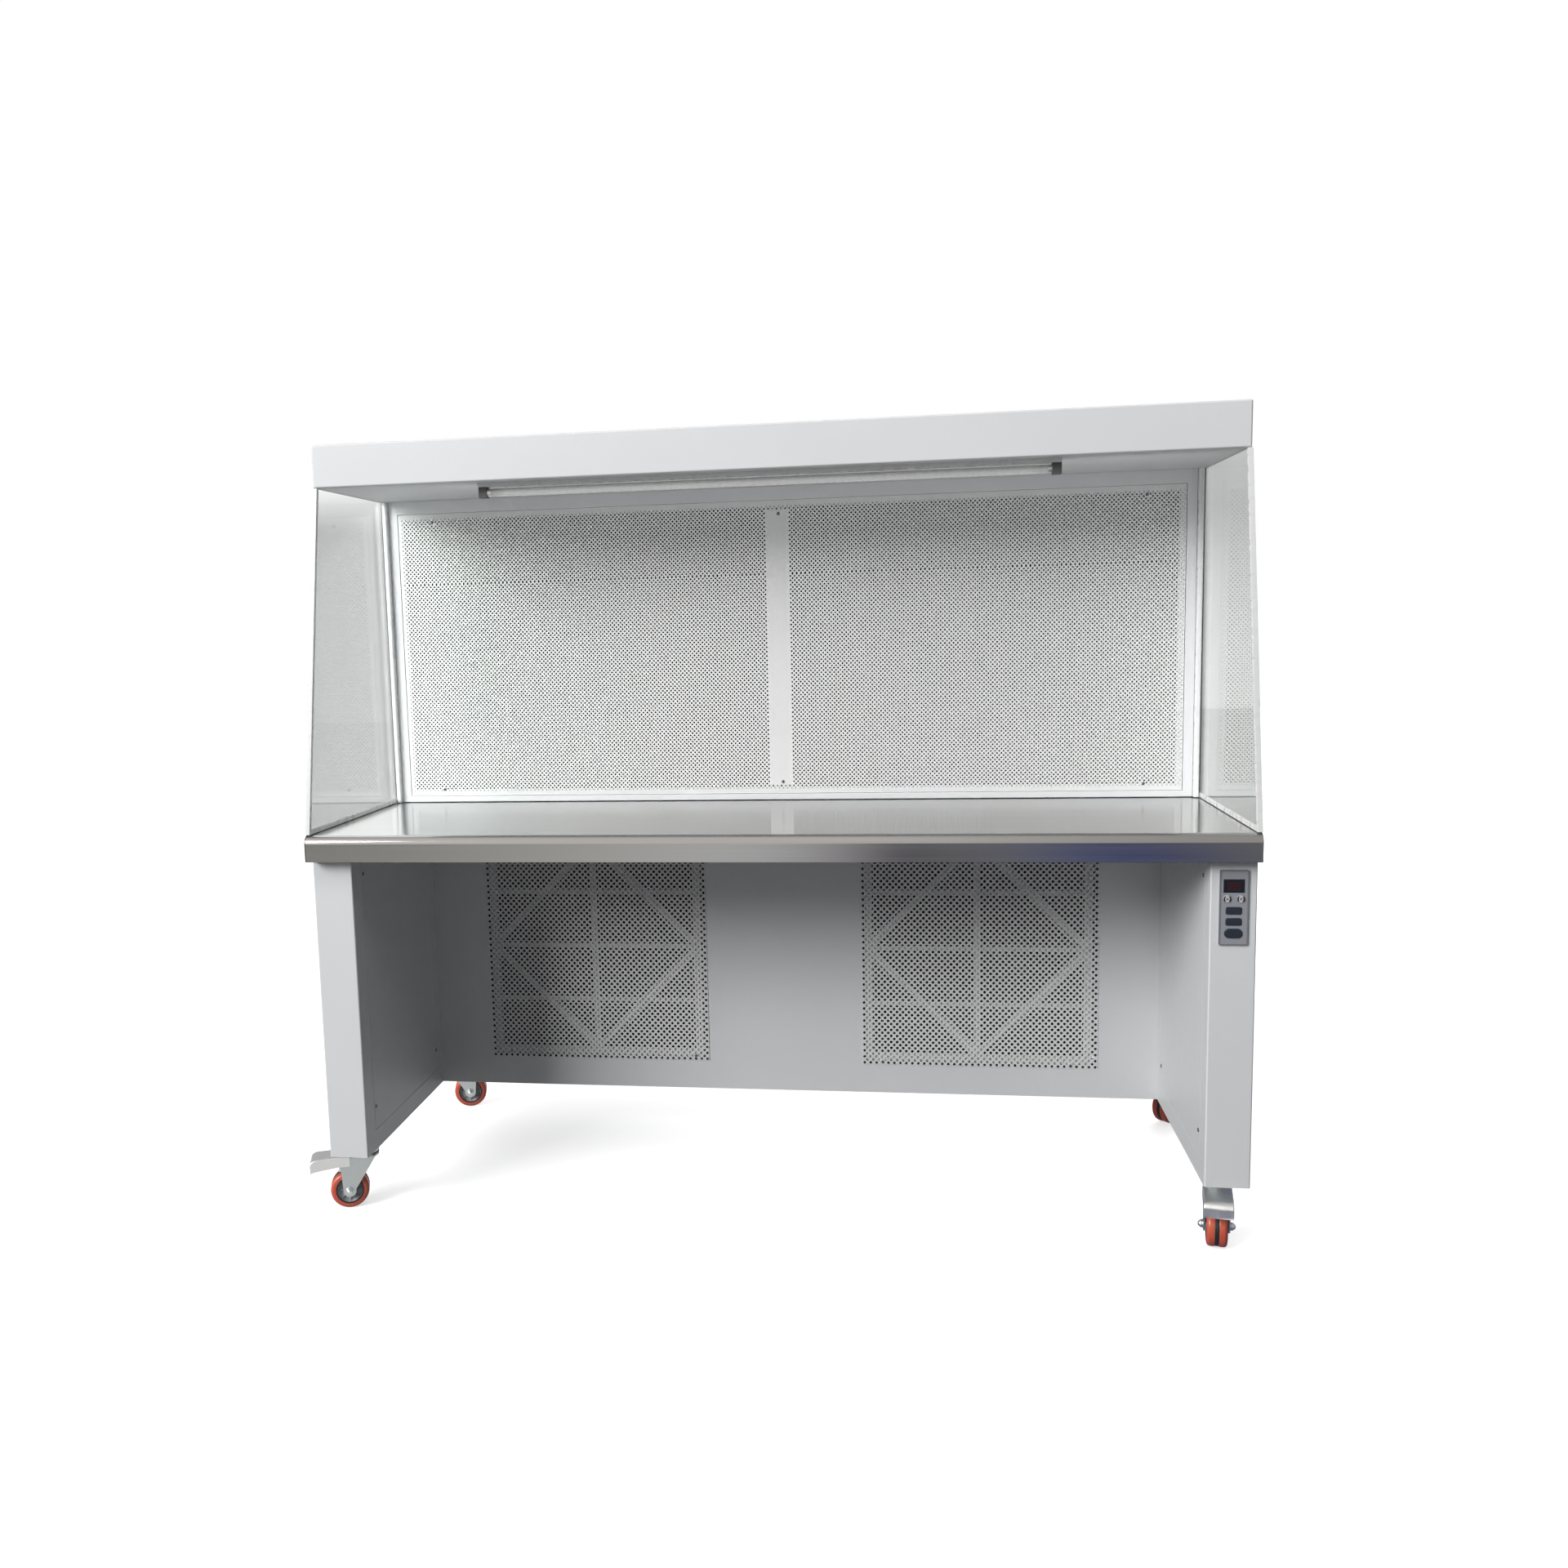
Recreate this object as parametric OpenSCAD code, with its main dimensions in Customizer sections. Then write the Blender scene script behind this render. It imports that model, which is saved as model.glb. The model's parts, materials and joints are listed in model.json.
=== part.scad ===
// Horizontal laminar flow clean bench on castors.
// Origin: centre of the footprint on the floor. +X to the user's right, +Y to the back, +Z up.

/* [Body] */
// Width of the hood and of the leg cabinets over their outer faces
body_w = 1760; // [1500:10:2200]
// Height of the hood's top above the floor
body_h = 1547; // [1500:1:1700]
// Depth from the hood's front face to the back
body_depth = 630; // [600:5:750]
// Thickness of the painted sheet steel
sheet = 2; // [1.5:0.1:2.5]
// Height of the hood's front face
fascia_h = 83.4; // [60:0.1:120]
// Distance from the hood's front face to the diffuser and the intake panel
chamber_depth = 355; // [340:1:370]

/* [Worktop] */
// Height of the worktop's surface above the floor
worktop_h = 793; // [780:1:800]
// Height of the worktop's front edge
nose_h = 52; // [45:1:60]
// Distance that the worktop reaches ahead of the hood's front face
nose_reach = 140; // [130:1:145]
// Radius of the front edge's upper bend
nose_r = 18; // [10:1:22]

/* [Leg cabinets] */
// Width of each leg cabinet
leg_w = 80; // [76:1:90]
// Distance that the leg cabinets reach ahead of the hood's front face
leg_reach = 110; // [100:1:115]

/* [Filters] */
// Width of each prefilter
prefilter_w = 486; // [440:1:490]
// Height of each prefilter
prefilter_h = 508; // [440:1:510]
// Depth of each prefilter
prefilter_d = 24; // [20:1:46]
// Distance from the middle plane to each prefilter's centre
intake_x = 423; // [380:1:440]
// Height of each prefilter's centre above the floor
intake_z = 462; // [450:1:480]
// Depth of each main filter
hepa_d = 69; // [60:1:80]

/* [Castors] */
// Overall height of a castor
castor_h = 135; // [132:1:138]
// Radius of a wheel over its tread
wheel_r = 39; // [37:0.5:39]
// Width of a wheel's tread
tread_w = 37; // [32:1:38]
// Distance from the swivel axis to the wheel's axle
trail = 36; // [34:1:38]
// Distance from the swivel axis to the brake pedal's tip
pedal_reach = 113; // [104:1:120]
// Distance that the front swivel axes lie ahead of the hood's front face
front_castor_ahead = 18; // [15:1:40]

/* [Control panel] */
// Width of the control plate
plate_w = 50; // [48:1:60]
// Height of the control plate
plate_h = 136; // [132:1:150]
// Height of the control plate's centre above the floor
plate_z = 655; // [640:1:660]
// Distance that a button stands out of the control plate
button_proud = 1.6; // [1.4:0.1:2.5]

/* [Running fits] */
// Radial clearance of a shaft in its bore
run_fit = 0.05; // [0.02:0.01:0.1]
// Gap between faces that slide past each other
slide_gap = 0.3; // [0.2:0.05:0.5]

/* [Hidden] */

$fn = 48;
eps = 0.5;
half_w = body_w / 2;
leg_in = half_w - leg_w;
leg_mid = half_w - leg_w / 2;
screw_head = 2;
cover_y = body_depth - screw_head - sheet;
fascia_z = body_h - fascia_h;
worktop_z0 = worktop_h - nose_h;
leg_z = castor_h;

// Screws: radius of the heads, of the small heads and of a shank as a share of its head
screw_r = 4;
small_screw_r = 3.5;
small_screw_h = 1.8;
shank_share = 0.55;

// Access panels in the leg cabinets' inner faces
access_y = [-62, 321];
access_z = [175, worktop_z0 - 14];
seam = 1;
backing = 22;
access_screw_inset = 6;
access_screw_z = [223, access_z[1] - 24];

// Diffuser and its frame
frame_x = 860;
frame_open_x = 840;
frame_open_z = [worktop_h + 13, 1435];
frame_t = 3;
frame_flange = 14;
diffuser_t = 2;
diffuser_screw_x = 761;
diffuser_screw_z = [821, 1416];
middle_screw_x = 6;
middle_screw_z = [832, 1406];

// Intake grilles, and the window behind each with the four tabs that take its screws
grille_w = 503;
grille_h = 524;
grille_t = 1.5;
grille_screw_x = [[-208, 221], [-208, 195]];
grille_screw_z = [251.6, 256.5];
window_w = 500;
window_h = 520;
tab_w = 14;
tab_h = 12;
ledge_h = 12;
filter_face = 3;
filter_wall = 3;
filter_border = 18.5;
filter_bar = 15;
cross_bar = 11;
filter_shift = -3;
filter_pitch = 124;

// Main filters
hepa_y = chamber_depth + 17;
hepa_wall = 12;
hepa_x = [4, 856];
hepa_z = [worktop_h + 6, fascia_z - 6];
gasket_t = 6;
gasket_w = 15;
bulkhead_y = hepa_y + hepa_d + gasket_t;
fold_gap = 6;
hepa_pleats = 84;
pre_pleats = 40;

worktop_t = 1.5;

// Rear covers: half width and height range of the upper and of the lower one
upper_cover_x = half_w - 6;
upper_cover_z = [worktop_z0 + 1, body_h - 6];
lower_cover_x = leg_in + 30;
lower_cover_z = [leg_z + 6, worktop_z0 - 1];
cover_screw_inset = 12;

// Side glass and its edge channels
glass_t = 5;
glass_out = half_w - 0.5;
channel_wall = 2;
channel_gap = 0.1;
channel_w = 9;
glass_foot_y = -132;
glass_back_y = chamber_depth - 5;

// Cord gland, placed by x and y on the lower cabinet's floor
gland_at = [-700, 590];
gland_r = 8;
gland_bore = 5;
gland_top = 12;

// Lamp
lamp_y = 53;
tube_r = 8;
tube_z = fascia_z - 18;
tube_half = 540;
socket_l = 17;
batten_w = 40;
batten_h = 7;
cap_l = 8;

// Fans
fan_y = 500;
fan_z = 590;
scroll_r = 112;
scroll_w = 190;
scroll_t = 1.5;
inlet_r = 75;
impeller_r = 88;
impeller_w = 168;
blade_count = 24;
blade_chord = 16;
blade_t = 1.2;
motor_r = 48;
shaft_r = 7;

// Angles that the four castors trail at, from the hood's left-to-right axis
front_left_turn = 200;
front_right_turn = -100;
rear_left_turn = 15;
rear_right_turn = 45;
castor_x = leg_mid + 2;
rear_castor_y = 565;
pedal_half = 26;

// Place of the hood's front face, which puts the origin under the middle of the whole bench
left_end = castor_x - pedal_reach * cos(front_left_turn) - pedal_half * sin(front_left_turn);
right_end = castor_x + pedal_reach * cos(rear_right_turn) + pedal_half * sin(rear_right_turn);
rear_end = rear_castor_y + pedal_reach * sin(rear_right_turn) + pedal_half * cos(rear_right_turn);
hood_x = (left_end - right_end) / 2;
hood_y = (nose_reach - rear_end) / 2;

// Castors, one row each: swivel axis x and y, and the angle that the wheel trails at
CASTORS = [[hood_x - castor_x, hood_y - front_castor_ahead, front_left_turn],
    [hood_x + castor_x, hood_y - front_castor_ahead, front_right_turn],
    [hood_x - castor_x, hood_y + rear_castor_y, rear_left_turn],
    [hood_x + castor_x, hood_y + rear_castor_y, rear_right_turn]];
crown_z = 106;
crown_t = 4;
cheek_in = 20.5;
cheek_t = 3;
cheek_out = cheek_in + cheek_t;
boss_r = 13;
axle_r = 4;
axle_end = 1;
nut_r = 7.5;
nut_t = 4;
king_r = 5;
king_head_r = 9;
king_head_t = 4;
cup_r = 25;
race_z = castor_h - 17;
mount_plate = [74, 92, 3];
mount_bolt = [29, 37];
mount_bolt_r = 5.5;
mount_bolt_h = 4;
pivot = [44, 101];
pivot_r = 3;
pedal_t = 2;
core_r = 31;

// Control panel
control_y = -leg_reach;
bar_w = 27;
bar_h = 13;
oval_w = 31;
oval_h = 17;
round_r = 7;
flange = 1.5;
plate_t = 2.5;
plate_r = 3;
display_w = 36;
display_h = 24;
display_z = 39;
round_x = 11.5;
round_z = 16;
bar_z = [-5.5, -25.5];
bar_r = 3;
oval_z = -46.5;
control_box_w = plate_w - 6;
control_box_h = plate_h - 9;
control_cut_w = plate_w - 5;
control_cut_h = plate_h - 8;

// ---------- helpers ----------

// A box between two corners
module block(lo, hi) {
    translate(lo) cube(hi - lo);
}

// Places what is drawn with y = 0 at the hood's front face
module in_hood() {
    translate([hood_x, hood_y, 0]) children();
}

// Draws the children on the right and mirrored on the left
module both_sides() {
    children();
    mirror([1, 0, 0]) children();
}

// A plate in the XZ plane that grows towards +Y from y
module wall_xz(y, t) {
    translate([0, y + t, 0]) rotate([90, 0, 0]) linear_extrude(t) children();
}

// A profile in the YZ plane, drawn as [y, z], extruded from x0 to x1
module along_x(x0, x1) {
    translate([x0, 0, 0]) rotate([90, 0, 90]) linear_extrude(x1 - x0) children();
}

// A rectangle between two ranges
module rect(x, y) {
    translate([x[0], y[0]]) square([x[1] - x[0], y[1] - y[0]]);
}

// A rectangle with rounded corners, made of squares and circles
module round_rect(w, h, r) {
    square([w - 2 * r, h], center = true);
    square([w, h - 2 * r], center = true);
    for (x = [-1, 1], y = [-1, 1]) {
        translate([x * (w / 2 - r), y * (h / 2 - r)]) circle(r);
    }
}

// The head of a small screw on a face, standing out towards -Y
module small_screw(x, y, z) {
    translate([x, y, z]) rotate([90, 0, 0]) cylinder(r = small_screw_r, h = small_screw_h);
}

// ---------- leg cabinets ----------

module leg_box() {
    difference() {
        block([leg_in, -leg_reach, leg_z], [half_w, cover_y, worktop_z0]);
        block([leg_in + sheet, -leg_reach + sheet, leg_z + sheet],
            [half_w - sheet, cover_y - sheet, worktop_z0 - sheet]);
        block([leg_in - eps, access_y[0], access_z[0]],
            [leg_in + sheet + eps, access_y[1], access_z[1]]);
    }
    difference() {
        block([leg_in + sheet, access_y[0] - backing / 2, access_z[0] - backing / 2],
            [leg_in + 2 * sheet, access_y[1] + backing / 2, access_z[1] + backing / 2 - eps]);
        block([leg_in, access_y[0] + backing, access_z[0] + backing],
            [leg_in + 3 * sheet, access_y[1] - backing, access_z[1] - backing]);
    }
}

module left_leg() {
    color("gainsboro") in_hood() mirror([1, 0, 0]) leg_box();
}

module right_leg() {
    color("gainsboro") in_hood() difference() {
        leg_box();
        block([leg_mid - control_cut_w / 2, control_y - eps, plate_z - control_cut_h / 2],
            [leg_mid + control_cut_w / 2, control_y + sheet + eps, plate_z + control_cut_h / 2]);
    }
}

module access_panels() {
    color("silver") in_hood() both_sides() difference() {
        block([leg_in, access_y[0] + seam, access_z[0] + seam],
            [leg_in + sheet, access_y[1] - seam, access_z[1] - seam]);
        access_screw_places() rotate([0, 90, 0]) {
            cylinder(r = screw_r * shank_share + 0.2, h = 3 * sheet, center = true);
        }
    }
}

// The four fixing points of one access panel, on its outer face
module access_screw_places() {
    inset = seam + access_screw_inset;
    for (y = [access_y[0] + inset, access_y[1] - inset], z = access_screw_z) {
        translate([leg_in, y, z]) children();
    }
}

module access_panel_screws() {
    color("dimgray") in_hood() both_sides() access_screw_places() rotate([0, -90, 0]) {
        cylinder(r = screw_r, h = screw_head);
        translate([0, 0, -sheet]) cylinder(r = screw_r * shank_share, h = sheet + eps);
    }
}

// ---------- lower cabinet ----------

// Front wall of the lower cabinet, with a ledge under and over each prefilter
module intake_panel() {
    color("lightgray") in_hood() {
        wall_xz(chamber_depth, sheet) difference() {
            rect([-leg_in, leg_in], [leg_z, worktop_z0]);
            for (i = [0, 1]) {
                translate([(2 * i - 1) * intake_x, intake_z]) intake_window(grille_screw_x[i]);
            }
        }
        intake_places(filter_shift) for (s = [0, 1]) mirror([0, 0, s]) prefilter_ledge();
    }
}

// Draws the children at the middle of each intake, moved sideways by shift
module intake_places(shift) {
    for (s = [-1, 1]) translate([s * intake_x + shift, 0, intake_z]) children();
}

// Outline of the opening behind a grille, less the tabs for the grille's screws
module intake_window(screw_x) {
    difference() {
        square([window_w, window_h], center = true);
        for (x = screw_x, z = [-1, 1]) {
            translate([x, z * (window_h - tab_h) / 2]) {
                square([tab_w, tab_h + eps], center = true);
            }
        }
    }
}

// Angle on the back of the front wall that holds a prefilter's edge
module prefilter_ledge() {
    half = prefilter_w / 2;
    low = -window_h / 2 - ledge_h;
    y0 = chamber_depth + sheet;
    block([-half, y0 - eps, low], [half, y0 + sheet, -window_h / 2 - eps]);
    block([-half, y0, low], [half, y0 + prefilter_d, low + sheet]);
    for (x = [-1, 1]) {
        translate([x * (half - tab_w), 0, 0]) {
            block([-tab_w / 2, y0, low],
                [tab_w / 2, y0 + prefilter_d, -prefilter_h / 2 - slide_gap]);
        }
    }
}

module cabinet_floor() {
    hole_r = gland_r + 0.2;
    color("lightgray") in_hood() difference() {
        block([-leg_in, chamber_depth + sheet, leg_z], [leg_in, cover_y, leg_z + sheet]);
        translate([gland_at[0], gland_at[1], leg_z - 1]) cylinder(r = hole_r, h = 3 * sheet);
    }
}

module intake_grilles() {
    color("whitesmoke") in_hood() both_sides() {
        wall_xz(chamber_depth - grille_t, grille_t) translate([intake_x, intake_z]) {
            square([grille_w, grille_h], center = true);
        }
    }
}

module grille_screws() {
    color("dimgray") in_hood() for (i = [0, 1], x = grille_screw_x[i], z = [-1, 1]) {
        small_screw((2 * i - 1) * intake_x + x, chamber_depth - grille_t,
            intake_z + z * grille_screw_z[i]);
    }
}

// The die-cut face of a prefilter: a border, four bars and a diamond
module prefilter_face() {
    size = [prefilter_w, prefilter_h];
    border = [filter_border, filter_border];
    diamond = (prefilter_w - filter_bar) / sqrt(2);
    difference() {
        square(size, center = true);
        square(size - 2 * border, center = true);
    }
    square([filter_bar, prefilter_h], center = true);
    for (z = [-1, 0, 1]) {
        translate([0, z * filter_pitch]) square([prefilter_w, cross_bar], center = true);
    }
    intersection() {
        square(size, center = true);
        rotate(45) difference() {
            square(diamond + filter_bar, center = true);
            square(diamond - filter_bar, center = true);
        }
    }
}

// A pleated sheet as [x, y] over width w and depth d, with n folds and a fold rise of dy
function pleats(w, d, n, dy) = let (xs = [for (i = [0 : 2 * n]) i],
    fold = [for (i = xs) [i * w / (2 * n) - w / 2, i % 2 == 0 ? 0 : d - dy]])
    concat(fold, [for (i = xs) fold[2 * n - i] + [0, dy]]);

module prefilter_frames() {
    y0 = chamber_depth + sheet;
    wall = [filter_wall, filter_wall];
    size = [prefilter_w, prefilter_h];
    color("white") in_hood() intake_places(filter_shift) {
        wall_xz(y0, filter_face) prefilter_face();
        wall_xz(y0 + filter_face, prefilter_d - filter_face) difference() {
            square(size, center = true);
            square(size - 2 * wall, center = true);
        }
    }
}

module prefilter_media() {
    w = prefilter_w - 2 * filter_wall;
    h = prefilter_h - 2 * filter_wall;
    color("darkgray") in_hood() intake_places(filter_shift) {
        translate([0, chamber_depth + sheet + filter_face, -h / 2]) {
            linear_extrude(h) polygon(pleats(w, prefilter_d - filter_face - 2, pre_pleats, 4));
        }
    }
}

module fan_deck() {
    color("lightgray") in_hood() difference() {
        block([-leg_in, chamber_depth + sheet, worktop_z0 - sheet],
            [leg_in, cover_y, worktop_z0]);
        both_sides() fan_place() {
            block([-scroll_w / 2 + scroll_t, -scroll_r + scroll_t, worktop_z0 - fan_z - 2 * sheet],
                [scroll_w / 2 - scroll_t, 0, worktop_z0 - fan_z + sheet]);
        }
    }
}

// ---------- fans ----------

module fan_place() {
    translate([intake_x, fan_y, fan_z]) children();
}

// Outline of a fan's scroll with its outlet duct up to the deck, inset by t
module scroll_outline(t) {
    duct_h = worktop_z0 - sheet - fan_z;
    circle(scroll_r - t, $fn = 96);
    rect([-scroll_r + t, -t], [0, duct_h]);
}

module fan_housings() {
    color("silver") in_hood() both_sides() fan_place() difference() {
        along_x(-scroll_w / 2, scroll_w / 2) scroll_outline(0);
        along_x(-scroll_w / 2 + scroll_t, scroll_w / 2 - scroll_t) union() {
            scroll_outline(scroll_t);
            translate([0, 10]) rect([-scroll_r + scroll_t, -scroll_t], [100, 200]);
        }
        rotate([0, 90, 0]) cylinder(r = inlet_r, h = scroll_w + 2, center = true, $fn = 96);
    }
}

// Motor held in one inlet by three arms, with a shaft into the impeller's hub
module fan_motors() {
    arm_w = 10;
    arm_t = 4;
    motor_l = 70;
    neck_r = 26;
    gap_to_disc = 8;
    shaft_l = gap_to_disc + 22;
    outer = scroll_w / 2 + arm_t;
    color("dimgray") in_hood() both_sides() fan_place() {
        rotate([0, 90, 0]) {
            translate([0, 0, -motor_l - gap_to_disc]) cylinder(r = motor_r, h = motor_l);
            translate([0, 0, -gap_to_disc - 1]) cylinder(r = shaft_r, h = shaft_l);
        }
        for (a = [30, 150, 270]) {
            rotate([a, 0, 0]) {
                block([-outer, -arm_w / 2, neck_r - 6], [-scroll_w / 2, arm_w / 2, inlet_r + 8]);
            }
        }
        rotate([0, 90, 0]) translate([0, 0, -outer]) {
            cylinder(r = neck_r, h = outer - gap_to_disc - motor_l + 1);
        }
    }
}

// Forward-curved blade wheel: a hub, a middle disc, two rims and a ring of blades
module impeller() {
    rim_t = 3;
    hub_r = 16;
    blade_lean = 32;
    mid_r = impeller_r - blade_chord / 2;
    rotate([0, 90, 0]) difference() {
        union() {
            translate([0, 0, -2]) cylinder(r = mid_r + 2, h = 4, $fn = 96);
            translate([0, 0, -4]) cylinder(r = hub_r, h = 22);
            for (z = [-impeller_w / 2, impeller_w / 2 - rim_t]) translate([0, 0, z]) difference() {
                cylinder(r = impeller_r, h = rim_t, $fn = 96);
                translate([0, 0, -1]) {
                    cylinder(r = impeller_r - blade_chord, h = rim_t + 2, $fn = 96);
                }
            }
            for (i = [0 : blade_count - 1]) {
                rotate(i * 360 / blade_count) translate([mid_r, 0, 0]) rotate(blade_lean) {
                    cube([blade_chord - 2, blade_t, impeller_w - 2], center = true);
                }
            }
        }
        cylinder(r = shaft_r + run_fit, h = 60, center = true);
    }
}

module left_impeller() {
    color("gray") in_hood() mirror([1, 0, 0]) fan_place() impeller();
}

module right_impeller() {
    color("gray") in_hood() fan_place() impeller();
}

// ---------- worktop ----------

// Outline of the worktop's front edge and top, inset by t
module worktop_outline(t) {
    nose_y = -nose_reach + t;
    top_z = worktop_h - t;
    translate([-nose_reach + nose_r, worktop_h - nose_r]) circle(nose_r - t, $fn = 64);
    rect([-nose_reach + nose_r, chamber_depth - frame_t - slide_gap - t], [worktop_z0, top_z]);
    rect([nose_y, 0], [worktop_z0, worktop_h - nose_r]);
}

module worktop() {
    t = worktop_t;
    lip = 22;
    color("lightslategray") in_hood() {
        difference() {
            along_x(-half_w - t, half_w + t) worktop_outline(0);
            along_x(-half_w, half_w) union() {
                worktop_outline(t);
                rect([-nose_reach + t, chamber_depth - frame_t - slide_gap - t],
                    [worktop_z0 - 5, worktop_h - nose_r]);
            }
        }
        block([-half_w, -nose_reach + t / 2, worktop_z0],
            [half_w, -nose_reach + lip, worktop_z0 + t]);
    }
}

// Welded frame of rectangular tube that carries the worktop on the leg cabinets
module worktop_frame() {
    tube_w = 30;
    wall = 1.5;
    z = [worktop_z0, worktop_h - worktop_t - slide_gap];
    end_x = half_w - 4;
    rail_y = [-leg_reach, 110, chamber_depth - frame_t - 6 - tube_w];
    color("gray") in_hood() {
        for (y = rail_y) {
            along_x(-end_x, end_x) difference() {
                rect([y, y + tube_w], z);
                rect([y + wall, y + tube_w - wall], [z[0] + wall, z[1] - wall]);
            }
        }
        for (x = [-1, -0.5, 0, 0.5, 1], bay = [0, 1]) {
            translate([x * (end_x - tube_w / 2), 0, 0]) {
                wall_xz(rail_y[bay] + tube_w - eps, rail_y[bay + 1] - rail_y[bay] - tube_w + 2 * eps) {
                    difference() {
                        rect([-tube_w / 2, tube_w / 2], z);
                        rect([-tube_w / 2 + wall, tube_w / 2 - wall], [z[0] + wall, z[1] - wall]);
                    }
                }
            }
        }
    }
}

// ---------- hood ----------

module hood_shell() {
    rear_flange = 20;
    top_in = body_h - sheet;
    color("gainsboro") in_hood() {
        difference() {
            block([-half_w, 0, worktop_z0], [half_w, cover_y, body_h]);
            block([-half_w + sheet, sheet, worktop_z0 - eps],
                [half_w - sheet, cover_y - sheet, top_in]);
            block([-half_w - eps, -eps, worktop_z0 - eps],
                [half_w + eps, chamber_depth, fascia_z]);
            block([-half_w + rear_flange, cover_y - 2 * sheet, worktop_z0 + rear_flange],
                [half_w - rear_flange, cover_y + eps, body_h - rear_flange]);
        }
        block([-half_w + sheet / 2, sheet / 2, fascia_z],
            [half_w - sheet / 2, 20, fascia_z + sheet]);
    }
}

module ceiling_panel() {
    inner_x = half_w - sheet - slide_gap;
    color("gainsboro") in_hood() {
        block([-inner_x, 20 + slide_gap, fascia_z], [inner_x, chamber_depth + 12, fascia_z + sheet]);
        for (y = [22, chamber_depth + 10]) {
            block([-inner_x, y, fascia_z + sheet - eps], [inner_x, y + sheet, fascia_z + 20]);
        }
    }
}

module cover_screw_places(x, z) {
    for (sx = [-1, 0, 1], pz = z) {
        translate([sx * x, cover_y + sheet, pz]) children();
    }
}

module rear_covers() {
    color("gainsboro") in_hood() {
        wall_xz(cover_y, sheet) rect([-upper_cover_x, upper_cover_x], upper_cover_z);
        wall_xz(cover_y, sheet) rect([-lower_cover_x, lower_cover_x], lower_cover_z);
    }
}

module rear_cover_screws() {
    color("dimgray") in_hood() {
        cover_screw_places(upper_cover_x - cover_screw_inset,
            [upper_cover_z[0] + cover_screw_inset, upper_cover_z[1] - cover_screw_inset]) {
            rotate([-90, 0, 0]) cylinder(r = screw_r, h = screw_head);
        }
        cover_screw_places(lower_cover_x - cover_screw_inset,
            [lower_cover_z[0] + cover_screw_inset, lower_cover_z[1] - cover_screw_inset]) {
            rotate([-90, 0, 0]) cylinder(r = screw_r, h = screw_head);
        }
    }
}

// Cord gland under the lower cabinet, with its dome nut below and its lock nut inside
module power_gland() {
    nut_h = 5;
    body_h0 = 14;
    dome_h = 8;
    color("black") in_hood() translate([gland_at[0], gland_at[1], leg_z]) difference() {
        union() {
            translate([0, 0, -body_h0]) cylinder(r = 11, h = body_h0, $fn = 6);
            translate([0, 0, -body_h0 - dome_h]) cylinder(r = 9.3, h = dome_h + eps);
            translate([0, 0, -eps]) cylinder(r = gland_r, h = gland_top + eps);
            translate([0, 0, sheet]) cylinder(r = 11, h = nut_h, $fn = 6);
        }
        translate([0, 0, -body_h0 - dome_h - 1]) cylinder(r = gland_bore, h = 60);
    }
}

// ---------- diffuser and main filters ----------

module diffuser_frame() {
    front = chamber_depth - frame_t;
    color("whitesmoke") in_hood() {
        wall_xz(front, frame_t) difference() {
            rect([-frame_x, frame_x], [worktop_h, fascia_z]);
            rect([-frame_open_x, frame_open_x], frame_open_z);
        }
        wall_xz(chamber_depth, sheet) difference() {
            rect([-frame_x, frame_x], [worktop_h, fascia_z]);
            rect([-frame_open_x + frame_flange, frame_open_x - frame_flange],
                [frame_open_z[0] + frame_flange, frame_open_z[1] - frame_flange]);
        }
    }
}

module diffuser_plate() {
    color("white") in_hood() wall_xz(chamber_depth - diffuser_t, diffuser_t) {
        rect([-frame_open_x + seam, frame_open_x - seam],
            [frame_open_z[0] + seam, frame_open_z[1] - seam]);
    }
}

module diffuser_screws() {
    face_y = chamber_depth - diffuser_t;
    color("dimgray") in_hood() {
        for (x = [-diffuser_screw_x, diffuser_screw_x], z = diffuser_screw_z) {
            small_screw(x, face_y, z);
        }
        for (z = middle_screw_z) {
            small_screw(middle_screw_x, face_y, z);
        }
    }
}

module hepa_ring(inset) {
    difference() {
        rect(hepa_x, hepa_z);
        rect([hepa_x[0] + inset, hepa_x[1] - inset], [hepa_z[0] + inset, hepa_z[1] - inset]);
    }
}

module hepa_frames() {
    color("silver") in_hood() both_sides() wall_xz(hepa_y, hepa_d) hepa_ring(hepa_wall);
}

module hepa_media() {
    w = hepa_x[1] - hepa_x[0] - 2 * hepa_wall;
    h = hepa_z[1] - hepa_z[0] - 2 * hepa_wall;
    color("white") in_hood() both_sides() {
        translate([(hepa_x[0] + hepa_x[1]) / 2, hepa_y + fold_gap, hepa_z[0] + hepa_wall]) {
            linear_extrude(h) polygon(pleats(w, hepa_d - 2 * fold_gap, hepa_pleats, 6));
        }
    }
}

module hepa_gaskets() {
    color("black") in_hood() both_sides() wall_xz(hepa_y + hepa_d, gasket_t) hepa_ring(gasket_w);
}

module filter_bulkhead() {
    edge = gasket_w + 2;
    color("lightgray") in_hood() wall_xz(bulkhead_y, sheet) difference() {
        rect([-half_w + sheet + slide_gap, half_w - sheet - slide_gap],
            [worktop_z0, body_h - sheet - slide_gap]);
        both_sides_2d() rect([hepa_x[0] + edge, hepa_x[1] - edge],
            [hepa_z[0] + edge, hepa_z[1] - edge]);
    }
}

module both_sides_2d() {
    children();
    mirror([1, 0]) children();
}

// ---------- side glass ----------

// Outline of a side pane as [y, z], with its slanted front edge moved back by inset
module pane_outline(inset, foot) {
    lean = (0 - glass_foot_y) / (fascia_z - worktop_h);
    top_z = fascia_z - slide_gap;
    polygon([[glass_foot_y + inset + lean * (foot - worktop_h), foot],
        [glass_back_y, foot],
        [glass_back_y, top_z],
        [glass_foot_y + inset + lean * (top_z - worktop_h), top_z]]);
}

module side_glass() {
    color("lightcyan", 0.4) in_hood() both_sides() {
        along_x(glass_out - glass_t, glass_out) pane_outline(3, worktop_h + 3);
    }
}

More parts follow.
